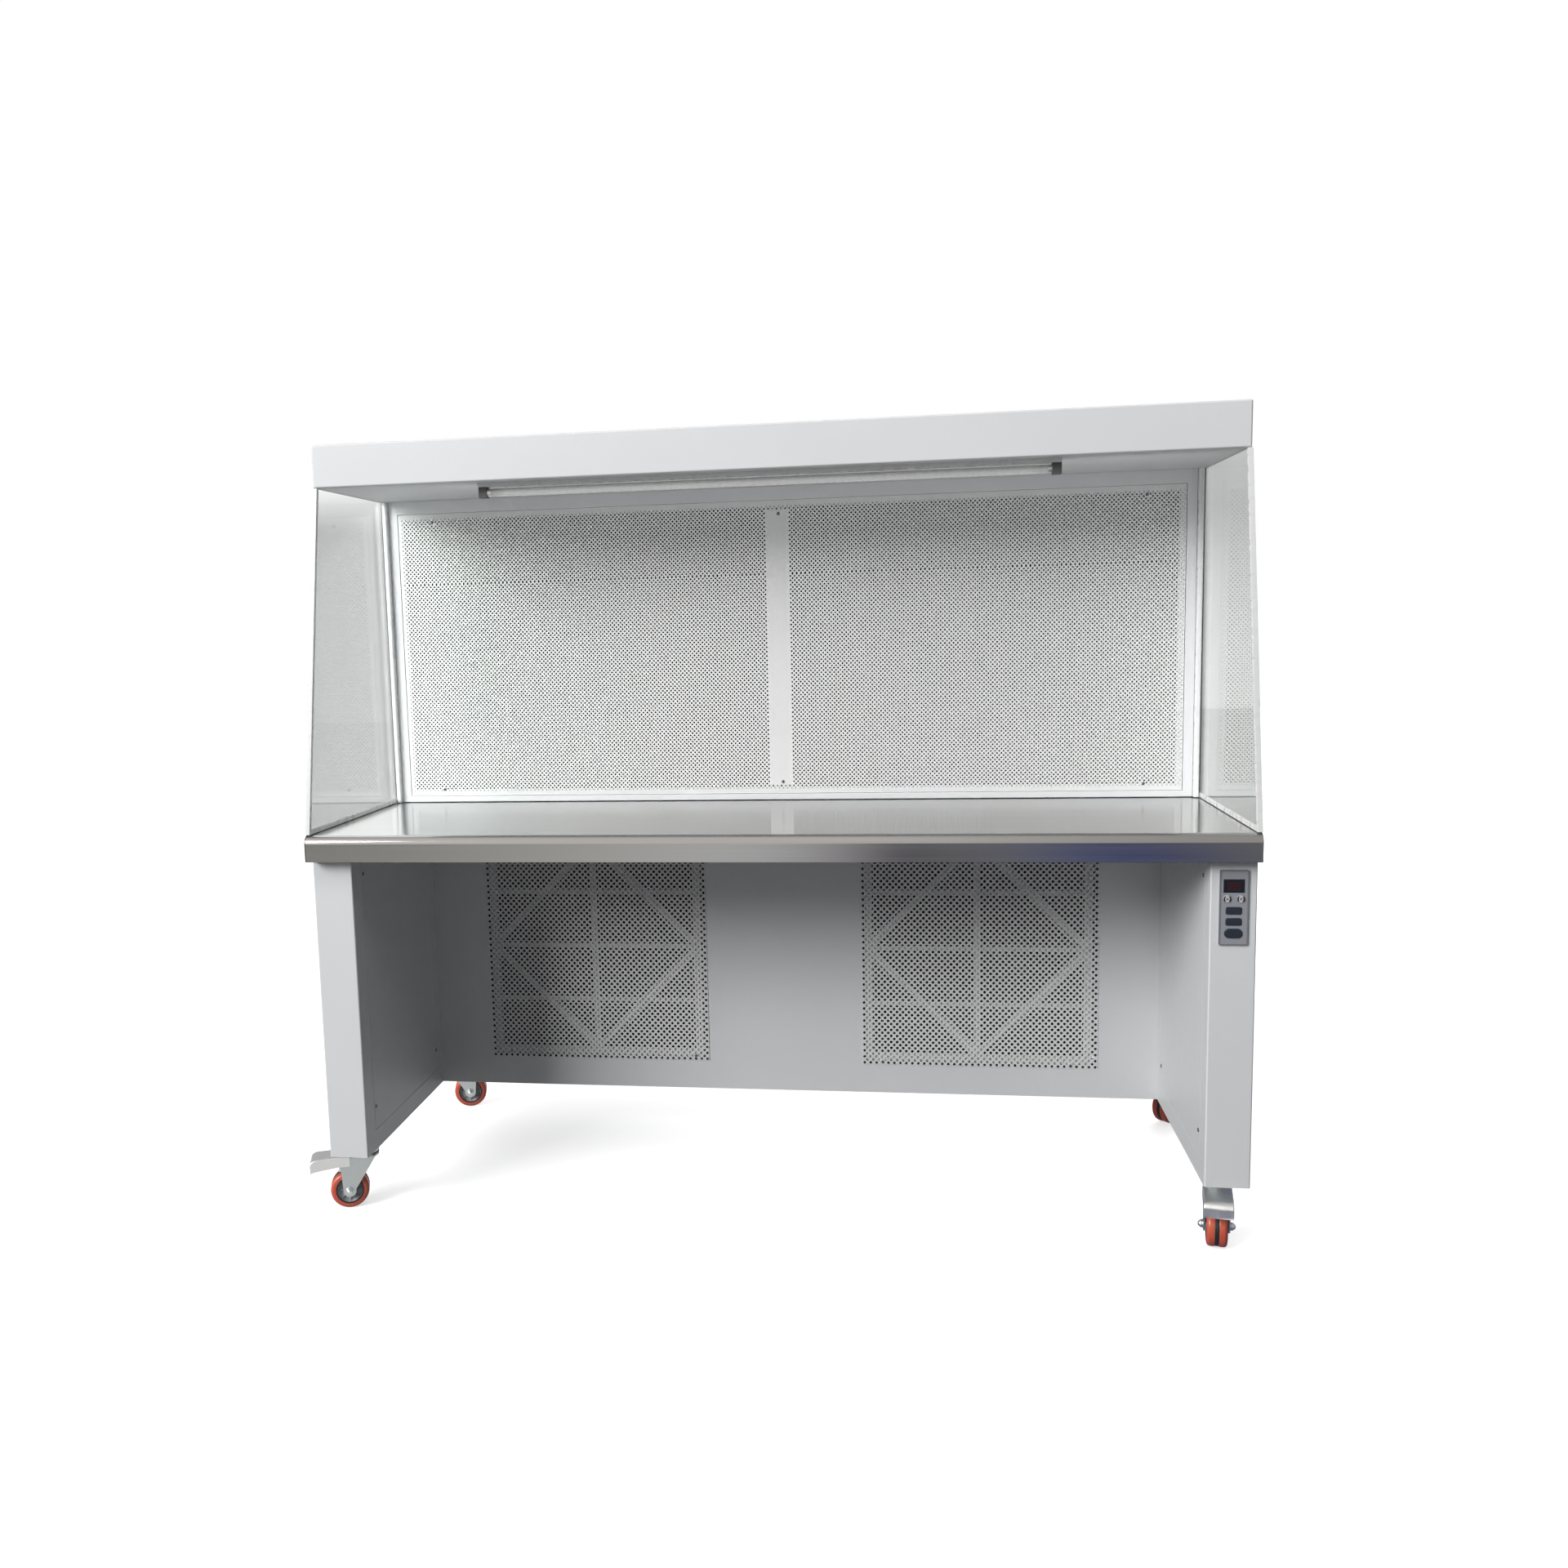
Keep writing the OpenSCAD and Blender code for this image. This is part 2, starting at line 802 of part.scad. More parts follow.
module glass_trims() {
    wall = channel_wall + channel_gap;
    slot_in = glass_out - glass_t - channel_gap;
    slot_out = glass_out + channel_gap;
    color("white") in_hood() both_sides() difference() {
        along_x(slot_in - channel_wall, slot_out + channel_wall) difference() {
            pane_outline(0, worktop_h);
            pane_outline(channel_w, worktop_h + channel_w);
        }
        along_x(slot_in, slot_out) pane_outline(3 - channel_gap, worktop_h + 3 - channel_gap);
    }
}

module glass_posts() {
    post_w = 11;
    post_d = 15;
    x0 = frame_x + slide_gap;
    color("white") in_hood() both_sides() {
        translate([x0 + post_w / 2, chamber_depth - post_d / 2, worktop_h]) {
            linear_extrude(fascia_z - worktop_h) round_rect(post_w, post_d, 4);
        }
    }
}

// ---------- lamp ----------

module lamp_body() {
    half_l = tube_half + socket_l;
    color("white") in_hood() along_x(-half_l, half_l) polygon([
        [lamp_y - batten_w / 2, fascia_z], [lamp_y + batten_w / 2, fascia_z],
        [lamp_y + 12, fascia_z - batten_h], [lamp_y - 12, fascia_z - batten_h]]);
}

module lamp_sockets() {
    color("dimgray") in_hood() both_sides() difference() {
        block([tube_half, lamp_y - 9, tube_z - 10],
            [tube_half + socket_l, lamp_y + 9, fascia_z - batten_h]);
        translate([tube_half - 1, lamp_y, tube_z]) rotate([0, 90, 0]) {
            cylinder(r = tube_r + 0.2, h = cap_l + 1);
        }
    }
}

module lamp_tube() {
    half_l = tube_half + cap_l - 1;
    color("ivory") in_hood() translate([-half_l, lamp_y, tube_z]) {
        rotate([0, 90, 0]) cylinder(r = tube_r, h = 2 * half_l);
    }
}

// ---------- control panel ----------

// Outlines of the panel's openings and of its buttons, as [x, z] from the plate's centre
module display_outline(grow = 0) {
    translate([0, display_z]) {
        square([display_w + 2 * grow, display_h + 2 * grow], center = true);
    }
}

module round_button_outline(side, grow = 0) {
    translate([side * round_x, round_z]) circle(round_r + grow);
}

module bar_button_outline(row, grow = 0) {
    translate([0, bar_z[row]]) {
        round_rect(bar_w + 2 * grow, bar_h + 2 * grow, bar_r + grow);
    }
}

module oval_button_outline(grow = 0) {
    end_r = oval_h / 2 + grow - 0.01;
    translate([0, oval_z]) round_rect(oval_w + 2 * grow, oval_h + 2 * grow, end_r);
}

module at_plate(y, t) {
    in_hood() translate([leg_mid, 0, plate_z]) wall_xz(y, t) children();
}

module control_plate() {
    plate_y = control_y - plate_t;
    color("lightgray") at_plate(plate_y, plate_t) difference() {
        round_rect(plate_w, plate_h, plate_r);
        display_outline(0.2);
        for (s = [-1, 1]) {
            round_button_outline(s, slide_gap);
        }
        for (row = [0, 1]) {
            bar_button_outline(row, slide_gap);
        }
        oval_button_outline(slide_gap);
    }
}

module display_window() {
    color("black") {
        at_plate(control_y - plate_t + 0.3, plate_t - 0.3) display_outline();
        at_plate(control_y, 1) display_outline(1.2);
    }
}

module control_box() {
    w = control_box_w;
    h = control_box_h;
    wall = 1;
    depth = 36;
    board_y = control_y + 7;
    board_t = 1.6;
    color("gray") {
        at_plate(control_y + slide_gap, depth) difference() {
            square([w, h], center = true);
            square([w - 2 * wall, h - 2 * wall], center = true);
        }
        at_plate(control_y + depth + slide_gap - wall, wall) square([w, h], center = true);
        at_plate(board_y, board_t) square([w - wall, h - wall], center = true);
    }
}

// A button: a cap through the plate and a wider foot behind it
module button_body() {
    color("darkslategray") {
        at_plate(control_y - plate_t - button_proud, plate_t + button_proud + 1) children(0);
        at_plate(control_y + slide_gap, flange) children(1);
    }
}

module left_round_button() {
    button_body() {
        round_button_outline(-1);
        round_button_outline(-1, flange);
    }
}

module right_round_button() {
    button_body() {
        round_button_outline(1);
        round_button_outline(1, flange);
    }
}

module bar_button(row) {
    button_body() {
        bar_button_outline(row);
        bar_button_outline(row, flange);
    }
}

module oval_button() {
    button_body() {
        oval_button_outline();
        oval_button_outline(flange);
    }
}

// ---------- castors ----------

// Draws the children at castor i, whose wheel trails towards +X in the children's frame
module castor_place(i) {
    translate([CASTORS[i][0], CASTORS[i][1], 0]) rotate([0, 0, CASTORS[i][2]]) children();
}

// A profile in the castor's XZ plane, extruded from y = -half to y = half
module castor_profile(half) {
    translate([0, half, 0]) rotate([90, 0, 0]) linear_extrude(2 * half) children();
}

module castor_pin(x, z, r, half) {
    translate([x, 0, z]) rotate([90, 0, 0]) cylinder(r = r, h = 2 * half, center = true);
}

module castor_plates() {
    under = castor_h - mount_plate[2];
    color("silver") for (c = CASTORS) {
        translate([c[0], c[1], 0]) {
            translate([-mount_plate[0] / 2, -mount_plate[1] / 2, under]) cube(mount_plate);
            translate([0, 0, race_z]) cylinder(r = cup_r + 2, h = under - race_z + eps);
            translate([0, 0, crown_z - king_head_t]) {
                cylinder(r = king_r, h = race_z - crown_z + king_head_t + eps);
            }
            translate([0, 0, crown_z - king_head_t - slide_gap]) {
                cylinder(r = king_head_r, h = king_head_t);
            }
            for (x = [-1, 1], y = [-1, 1]) {
                translate([x * mount_bolt[0], y * mount_bolt[1], under - mount_bolt_h]) {
                    cylinder(r = mount_bolt_r, h = mount_bolt_h + eps);
                }
            }
        }
    }
}

// Outline of a fork's cheek in the castor's XZ plane, round about the axle at its foot
module fork_cheek_outline() {
    flank = 12;
    arc = [for (a = [flank : -flank : -180 - flank])
        [trail + boss_r * cos(a), wheel_r + boss_r * sin(a)]];
    polygon(concat([[-20, crown_z + crown_t], [30, crown_z + crown_t], [54, crown_z]], arc));
}

module castor_fork(i) {
    cup_h = race_z - slide_gap - crown_z - crown_t;
    far = trail + pedal_reach;
    color("lightsteelblue") castor_place(i) {
        difference() {
            union() {
                difference() {
                    castor_profile(cheek_out) fork_cheek_outline();
                    castor_profile(cheek_in) rect([-far, far], [0, crown_z]);
                    block([30, -cheek_in, crown_z - eps], [far, cheek_in, crown_z + crown_t + eps]);
                }
                translate([0, 0, crown_z]) cylinder(r = cup_r + 1, h = crown_t);
                translate([0, 0, crown_z + crown_t - eps]) cylinder(r = cup_r, h = cup_h + eps);
            }
            translate([0, 0, crown_z - eps]) cylinder(r = king_r + run_fit, h = castor_h - crown_z);
            castor_pin(pivot[0], pivot[1], pivot_r + run_fit, cheek_out + eps);
            castor_pin(trail, wheel_r, axle_r + run_fit, cheek_out + eps);
        }
        castor_pin(trail, wheel_r, axle_r, cheek_out + axle_end);
        for (s = [-1, 1]) {
            translate([trail, s * (cheek_out + nut_t / 2), wheel_r]) rotate([90, 0, 0]) {
                cylinder(r = nut_r, h = nut_t, center = true);
            }
        }
    }
}

module castor_wheel(i) {
    hub_half = cheek_in - 1;
    color("dimgray") castor_place(i) translate([trail, 0, wheel_r]) rotate([90, 0, 0]) {
        rotate_extrude($fn = 96) {
            rect([axle_r + run_fit, 12], [-hub_half, hub_half]);
            rect([11, 29], [-7, 7]);
            rect([28, core_r], [-tread_w / 2, tread_w / 2]);
            for (s = [-1, 1]) {
                translate([0, s * (hub_half - 1)]) rect([11, 24], [-1, 1]);
            }
        }
    }
}

module castor_tread(i) {
    h = tread_w / 2;
    groove = 3.5;
    groove_depth = 2;
    shoulder = 7;
    arc = [for (a = [0 : 15 : 90])
        [wheel_r - shoulder + shoulder * cos(a), h - shoulder + shoulder * sin(a)]];
    far_arc = [for (a = [90 : -15 : 0])
        [wheel_r - shoulder + shoulder * cos(a), shoulder - h - shoulder * sin(a)]];
    color("orangered") castor_place(i) translate([trail, 0, wheel_r]) rotate([90, 0, 0]) {
        rotate_extrude($fn = 96) polygon(concat([[core_r, -h]], far_arc,
            [[wheel_r, -groove], [wheel_r - groove_depth, -groove],
            [wheel_r - groove_depth, groove], [wheel_r, groove]], arc, [[core_r, h]]));
    }
}

// Side outline of the brake pedal, inset by t and open below where t is over 0
module pedal_outline(t) {
    top = crown_z + 7 - t;
    tip = pedal_reach - t;
    heel = t > 0 ? 30 : 33;
    low = t > 0 ? [80, 80] : [92, 84];
    polygon([[heel, low[0]], [heel, top], [60, top], [tip - 12, top - 1], [tip - 4, top - 4],
        [tip, top - 10], [tip, low[1]], if (t == 0) [tip - 14, 87], if (t == 0) [58, 92]]);
}

// Pressed brake pedal: an open shell over the fork, a pivot pin and a tab over the tread
module castor_pedal(i) {
    tab = [[50, -15, 78.5], [56, 15, crown_z + 7 - pedal_t + eps]];
    color("white") castor_place(i) {
        difference() {
            castor_profile(pedal_half) pedal_outline(0);
            castor_profile(pedal_half - pedal_t + slide_gap) pedal_outline(pedal_t);
        }
        castor_pin(pivot[0], pivot[1], pivot_r, pedal_half);
        block(tab[0], tab[1]);
    }
}

// ---------- drawing ----------

left_leg();
right_leg();
access_panels();
access_panel_screws();
intake_panel();
intake_grilles();
prefilter_frames();
prefilter_media();
grille_screws();
worktop();
worktop_frame();
hood_shell();
ceiling_panel();
cabinet_floor();
rear_covers();
rear_cover_screws();
diffuser_frame();
diffuser_plate();
diffuser_screws();
hepa_frames();
hepa_media();
hepa_gaskets();
filter_bulkhead();
side_glass();
glass_trims();
glass_posts();
lamp_body();
lamp_tube();
lamp_sockets();
control_plate();
display_window();
control_box();
left_round_button();
right_round_button();
bar_button(0);  // upper_bar_button
bar_button(1);  // middle_bar_button
oval_button();
fan_deck();
fan_housings();
fan_motors();
left_impeller();
right_impeller();
power_gland();
castor_plates();
castor_fork(0);  // front_left_fork
castor_fork(1);  // front_right_fork
castor_fork(2);  // rear_left_fork
castor_fork(3);  // rear_right_fork
castor_wheel(0);  // front_left_wheel
castor_wheel(1);  // front_right_wheel
castor_wheel(2);  // rear_left_wheel
castor_wheel(3);  // rear_right_wheel
castor_tread(0);  // front_left_tread
castor_tread(1);  // front_right_tread
castor_tread(2);  // rear_left_tread
castor_tread(3);  // rear_right_tread
castor_pedal(0);  // front_left_pedal
castor_pedal(1);  // front_right_pedal
castor_pedal(2);  // rear_left_pedal
castor_pedal(3);  // rear_right_pedal
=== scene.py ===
import json
import math

import bmesh
import bpy
from mathutils import Matrix, Vector

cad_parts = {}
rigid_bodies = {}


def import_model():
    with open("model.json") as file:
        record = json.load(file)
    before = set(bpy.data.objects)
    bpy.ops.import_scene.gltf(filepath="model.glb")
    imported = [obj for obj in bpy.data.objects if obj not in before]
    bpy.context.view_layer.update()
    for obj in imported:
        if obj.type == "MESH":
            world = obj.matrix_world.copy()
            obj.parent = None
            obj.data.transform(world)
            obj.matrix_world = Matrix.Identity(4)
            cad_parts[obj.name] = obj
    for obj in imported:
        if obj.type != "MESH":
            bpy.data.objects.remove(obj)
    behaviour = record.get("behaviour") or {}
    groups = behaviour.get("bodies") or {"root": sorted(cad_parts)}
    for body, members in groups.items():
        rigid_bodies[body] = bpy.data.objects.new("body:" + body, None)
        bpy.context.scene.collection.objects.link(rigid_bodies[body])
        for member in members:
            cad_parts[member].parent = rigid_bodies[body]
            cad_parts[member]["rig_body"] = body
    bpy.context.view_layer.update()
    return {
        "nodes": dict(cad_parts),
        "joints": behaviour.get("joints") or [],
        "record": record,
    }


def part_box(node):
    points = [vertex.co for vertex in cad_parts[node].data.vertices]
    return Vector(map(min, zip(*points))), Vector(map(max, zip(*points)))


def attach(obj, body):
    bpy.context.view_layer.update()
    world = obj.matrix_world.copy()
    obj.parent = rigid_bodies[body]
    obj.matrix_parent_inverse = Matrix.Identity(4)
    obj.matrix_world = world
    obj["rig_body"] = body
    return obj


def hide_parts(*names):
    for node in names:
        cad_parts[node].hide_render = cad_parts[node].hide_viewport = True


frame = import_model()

MM = 0.001
CASTORS = ("front_left", "front_right", "rear_left", "rear_right")
NODES = frame["nodes"]
JOINTS = {joint["name"]: joint for joint in frame["joints"]}
SLOTS = {part["node"]: part["material_slot"] for part in frame["record"]["subparts"]}
BODY = {node: obj["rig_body"] for node, obj in NODES.items()}
HOOD_LOW, HOOD_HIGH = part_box("hood_shell")
MIDDLE_X = (HOOD_LOW.x + HOOD_HIGH.x) / 2
NEAR = 0.1 * MM  # how far a corner may lie from the CAD face that it belongs to
WELD = 0.003 * MM  # corners closer than this are one
SHARP = 34  # edges bent by more degrees than this are creases
FLIPS = (Matrix(), Matrix.Rotation(math.pi, 4, "X"))


# ---------- materials ----------

class Look:
    """A node material: one Principled shader and the textures that feed it, in real scale."""

    def __init__(self, name, colour, roughness, metallic=0.0, sockets=None):
        self.material = bpy.data.materials.new(name)
        self.material.use_nodes = True
        self.tree = self.material.node_tree
        self.shader = self.tree.nodes["Principled BSDF"]
        self.colour = (*colour, 1.0)
        self.set("Base Color", self.colour)
        self.set("Roughness", roughness)
        self.set("Metallic", metallic)
        for socket, value in (sockets or {}).items():
            self.set(socket, value)
        self.place = self.tree.nodes.new("ShaderNodeTexCoord").outputs["Object"]
        self.height = None

    def set(self, socket, value):
        self.shader.inputs[socket].default_value = value

    def link(self, output, target):
        self.tree.links.new(output, target)

    def node(self, kind, **settings):
        node = self.tree.nodes.new("ShaderNode" + kind)
        for key, value in settings.items():
            setattr(node, key, value)
        return node

    def stretched(self, scale):
        """The place on the object, scaled apart along X, Y and Z."""
        mapping = self.node("Mapping")
        mapping.inputs["Scale"].default_value = scale
        self.link(self.place, mapping.inputs["Vector"])
        return mapping.outputs["Vector"]

    def noise(self, per_metre, detail=2.0, rough=0.5, stretch=None, distort=0.0):
        texture = self.node("TexNoise")
        texture.inputs["Scale"].default_value = per_metre
        texture.inputs["Detail"].default_value = detail
        texture.inputs["Roughness"].default_value = rough
        texture.inputs["Distortion"].default_value = distort
        self.link(self.stretched(stretch) if stretch else self.place, texture.inputs["Vector"])
        return texture.outputs[0]

    def cells(self, per_metre, output=0):
        texture = self.node("TexVoronoi")
        texture.inputs["Scale"].default_value = per_metre
        self.link(self.place, texture.inputs["Vector"])
        return texture.outputs[output]

    def span(self, value, low, high, to_low, to_high):
        """value, from low to high, mapped to to_low to to_high and held at both ends."""
        ranged = self.node("MapRange")
        for socket, number in zip(("From Min", "From Max", "To Min", "To Max"),
                                  (low, high, to_low, to_high)):
            ranged.inputs[socket].default_value = number
        self.link(value, ranged.inputs["Value"])
        return ranged.outputs["Result"]

    def maths(self, operation, a, b):
        node = self.node("Math", operation=operation)
        for socket, value in zip(node.inputs, (a, b)):
            if isinstance(value, (int, float)):
                socket.default_value = value
            else:
                self.link(value, socket)
        return node.outputs[0]

    def tint(self, share, colour, most=1.0):
        """Mixes colour into the base colour where share is high, up to most."""
        mixer = self.node("Mix", data_type="RGBA")
        colours = [socket for socket in mixer.inputs if socket.type == "RGBA"]
        self.link(self.span(share, 0.35, 0.65, 0.0, most), mixer.inputs[0])
        before = self.shader.inputs["Base Color"]
        if before.is_linked:
            self.link(before.links[0].from_socket, colours[0])
        else:
            colours[0].default_value = before.default_value
        colours[1].default_value = (*colour, 1.0)
        self.link(next(s for s in mixer.outputs if s.type == "RGBA"), before)
        return self

    def shade(self, share, factor, most=1.0):
        """Mixes in the base colour times factor."""
        return self.tint(share, [c * factor for c in self.colour[:3]], most)

    def rough(self, share, low, high):
        self.link(self.span(share, 0.3, 0.7, low, high), self.shader.inputs["Roughness"])
        return self

    def bump(self, height, depth_mm):
        """Relief of depth_mm, on top of any relief made before."""
        node = self.node("Bump")
        node.inputs["Distance"].default_value = depth_mm * MM
        self.link(height, node.inputs["Height"])
        if self.height:
            self.link(self.height, node.inputs["Normal"])
        self.height = node.outputs["Normal"]
        self.link(self.height, self.shader.inputs["Normal"])
        return self


def powder_coat(name, colour, roughness=0.42):
    """Sprayed polyester powder: orange peel, faint clouding and a few dust nibs."""
    look = Look(name, colour, roughness)
    look.shade(look.noise(5, 2), 0.965, 0.7)
    look.shade(look.noise(38, 3, 0.6), 0.975, 0.5)
    look.rough(look.noise(60, 2), roughness - 0.05, roughness + 0.07)
    look.bump(look.noise(650, 1.5), 0.012)
    nibs = look.span(look.cells(140), 0.0, 0.07, 1.0, 0.0)
    look.bump(nibs, 0.01)
    return look.material


def brushed_steel():
    """Stainless sheet brushed along X, so that reflections smear across the brushing."""
    look = Look("stainless_brushed", (0.545, 0.54, 0.53), 0.2, 1.0,
                {"Anisotropic": 0.72, "Anisotropic Rotation": 0.25})
    tangent = look.node("Tangent", direction_type="UV_MAP", uv_map="brush")
    look.link(tangent.outputs["Tangent"], look.shader.inputs["Tangent"])
    lines = look.noise(1, 3, 0.65, stretch=(2.5, 900, 900))
    broad = look.noise(1, 2, 0.5, stretch=(1.2, 120, 120))
    look.shade(lines, 0.86, 0.6).shade(broad, 0.94, 0.6)
    look.tint(look.noise(3, 2), (0.525, 0.53, 0.545), 0.5)
    look.rough(look.maths("ADD", look.maths("MULTIPLY", lines, 0.7),
                          look.maths("MULTIPLY", broad, 0.3)), 0.11, 0.20)
    look.bump(lines, 0.0015)
    return look.material


def plated_zinc(name, colour):
    """Bright zinc plating: cloudy blue and straw tints and uneven gloss."""
    look = Look(name, colour, 0.36, 1.0)
    blue = tuple(c * k for c, k in zip(colour, (0.90, 0.95, 0.97)))
    straw = tuple(c * k for c, k in zip(colour, (1.0, 0.98, 0.91)))
    look.tint(look.noise(35, 3, 0.6), blue, 0.5)
    look.tint(look.noise(22, 2, 0.5, distort=1.0), straw, 0.35)
    look.shade(look.noise(260, 2), 0.93, 0.4)
    look.rough(look.noise(90, 3, 0.6), 0.3, 0.46)
    look.bump(look.noise(700, 2), 0.004)
    return look.material


def galvanised():
    """Hot-dip galvanised sheet with spangles about 15 mm across."""
    look = Look("galvanised_sheet", (0.60, 0.62, 0.63), 0.42, 1.0)
    flakes = look.cells(65, output=1)
    separate = look.node("SeparateColor")
    look.link(flakes, separate.inputs[0])
    look.shade(separate.outputs[0], 0.72, 0.8)
    look.rough(separate.outputs[1], 0.32, 0.52)
    look.shade(look.noise(400, 2), 0.92, 0.5)
    look.bump(look.noise(500, 2), 0.004)
    return look.material


def rolled_aluminium():
    look = Look("aluminium_extrusion", (0.74, 0.75, 0.76), 0.34, 1.0)
    lines = look.noise(1, 2, 0.6, stretch=(500, 500, 6))
    look.shade(lines, 0.9, 0.5).shade(look.noise(20, 2), 0.95, 0.5)
    look.rough(lines, 0.28, 0.42)
    look.bump(lines, 0.002)
    return look.material


def dark_steel():
    """Blackened screw steel with bare, worn high spots."""
    look = Look("screw_steel_dark", (0.16, 0.16, 0.165), 0.38, 1.0)
    look.tint(look.noise(900, 3, 0.6), (0.34, 0.34, 0.35), 0.5)
    look.rough(look.noise(1500, 2), 0.3, 0.5)
    look.bump(look.noise(2500, 2), 0.004)
    return look.material


def enamel():
    look = Look("motor_enamel", (0.035, 0.036, 0.04), 0.45)
    look.tint(look.noise(60, 3), (0.06, 0.06, 0.065), 0.5)
    look.rough(look.noise(200, 2), 0.38, 0.55)
    look.bump(look.noise(900, 2), 0.02)
    return look.material


def card():
    """Bleached filter board: short grey and warm fibres and soft matte pulp."""
    look = Look("filter_board", (0.80, 0.80, 0.785), 0.88)
    fibres = look.noise(1, 4, 0.7, stretch=(1600, 1600, 320), distort=1.5)
    look.shade(fibres, 0.86, 0.5)
    look.tint(look.noise(420, 4, 0.7), (0.70, 0.69, 0.65), 0.35)
    look.shade(look.noise(24, 2), 0.96, 0.6)
    look.rough(fibres, 0.8, 0.95)
    look.bump(fibres, 0.05).bump(look.noise(1400, 3), 0.02)
    return look.material


def fleece(name, colour, pale):
    """Non-woven filter fleece or glass paper: crossed fibres over darker hollows."""
    look = Look(name, colour, 0.95, sockets={"Sheen Weight": 0.15, "Sheen Roughness": 0.6})
    along = look.noise(1, 4, 0.75, stretch=(2600, 2600, 380), distort=2.0)
    across = look.noise(1, 4, 0.75, stretch=(380, 900, 2600), distort=2.0)
    fibres = look.maths("MAXIMUM", along, across)
    look.tint(look.span(fibres, 0.45, 0.75, 0.3, 0.7), pale, 0.9)
    look.shade(look.noise(30, 3), 0.85, 0.5)
    look.bump(fibres, 0.12)
    return look.material


def moulded(name, colour, roughness=0.45, grain=0.015):
    """Injection-moulded plastic with spark-eroded grain and faint flow marks."""
    look = Look(name, colour, roughness)
    look.shade(look.noise(1400, 2), 0.88, 0.5)
    look.shade(look.noise(25, 2, distort=1.0), 0.93, 0.6)
    look.rough(look.noise(300, 3, 0.6), roughness - 0.07, roughness + 0.1)
    look.bump(look.noise(1900, 2), grain)
    return look.material


def polyurethane():
    """Cast orange tread: glossy, slightly cloudy, with grey scuffs from the floor."""
    look = Look("tread_polyurethane", (0.66, 0.10, 0.05), 0.36,
                sockets={"Coat Weight": 0.35, "Coat Roughness": 0.18})
    look.tint(look.noise(45, 3, 0.6), (0.72, 0.155, 0.085), 0.6)
    scuffs = look.span(look.noise(160, 5, 0.7, distort=1.5), 0.52, 0.72, 0.0, 1.0)
    look.tint(scuffs, (0.42, 0.14, 0.09), 0.5)
    look.rough(look.noise(220, 4, 0.65), 0.24, 0.5)
    look.bump(scuffs, 0.03).bump(look.noise(1200, 2), 0.008)
    return look.material


def pane():
    """Clear toughened glass, faintly green, with a trace of dust."""
    look = Look("glass_clear", (0.965, 0.985, 0.975), 0.0,
                sockets={"Transmission Weight": 1.0, "IOR": 1.5})
    look.rough(look.noise(18, 4, 0.7), 0.0, 0.03)
    look.shade(look.noise(9, 3), 0.985, 0.6)
    lets_light = look.node("BsdfTransparent")
    lets_light.inputs["Color"].default_value = (0.93, 0.96, 0.945, 1.0)
    path = look.node("LightPath")
    mixer = look.node("MixShader")
    look.link(path.outputs["Is Shadow Ray"], mixer.inputs[0])
    look.link(look.shader.outputs[0], mixer.inputs[1])
    look.link(lets_light.outputs[0], mixer.inputs[2])
    look.link(mixer.outputs[0], look.tree.nodes["Material Output"].inputs["Surface"])
    return look.material


def phosphor():
    """The lamp's tube: white phosphor behind gloss glass, greyer by the electrodes."""
    low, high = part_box("lamp_tube")
    glass_end = (high.x - low.x) / 2 - 14 * MM
    look = Look("lamp_phosphor", (0.88, 0.885, 0.87), 0.28,
                sockets={"Coat Weight": 0.8, "Coat Roughness": 0.05})
    axes = look.node("SeparateXYZ")
    look.link(look.place, axes.inputs[0])
    from_middle = look.maths("SUBTRACT", axes.outputs["X"], (low.x + high.x) / 2)
    end = look.span(look.maths("ABSOLUTE", from_middle, 0.0), glass_end - 0.03, glass_end,
                    0.36, 0.66)
    look.tint(end, (0.50, 0.49, 0.47), 0.8)
    look.shade(look.noise(40, 3), 0.95, 0.6)
    look.rough(look.noise(120, 2), 0.22, 0.34)
    look.bump(look.noise(500, 2), 0.003)
    return look.material


def gloss_black():
    """Polished black acrylic with hairline wiping marks."""
    look = Look("display_acrylic", (0.010, 0.012, 0.017), 0.12,
                sockets={"Coat Weight": 1.0, "Coat Roughness": 0.04})
    wipes = look.noise(1, 3, 0.6, stretch=(900, 900, 120))
    look.shade(look.noise(150, 3), 0.7, 0.5)
    look.rough(wipes, 0.08, 0.2)
    look.bump(wipes, 0.0008)
    return look.material


def lit_window():
    """Dark red filter in front of the display's digits."""
    look = Look("display_red_filter", (0.026, 0.005, 0.004), 0.3,
                sockets={"Coat Weight": 0.3, "Coat Roughness": 0.2})
    look.tint(look.noise(600, 2), (0.040, 0.007, 0.005), 0.6)
    look.rough(look.noise(900, 2), 0.25, 0.4)
    return look.material


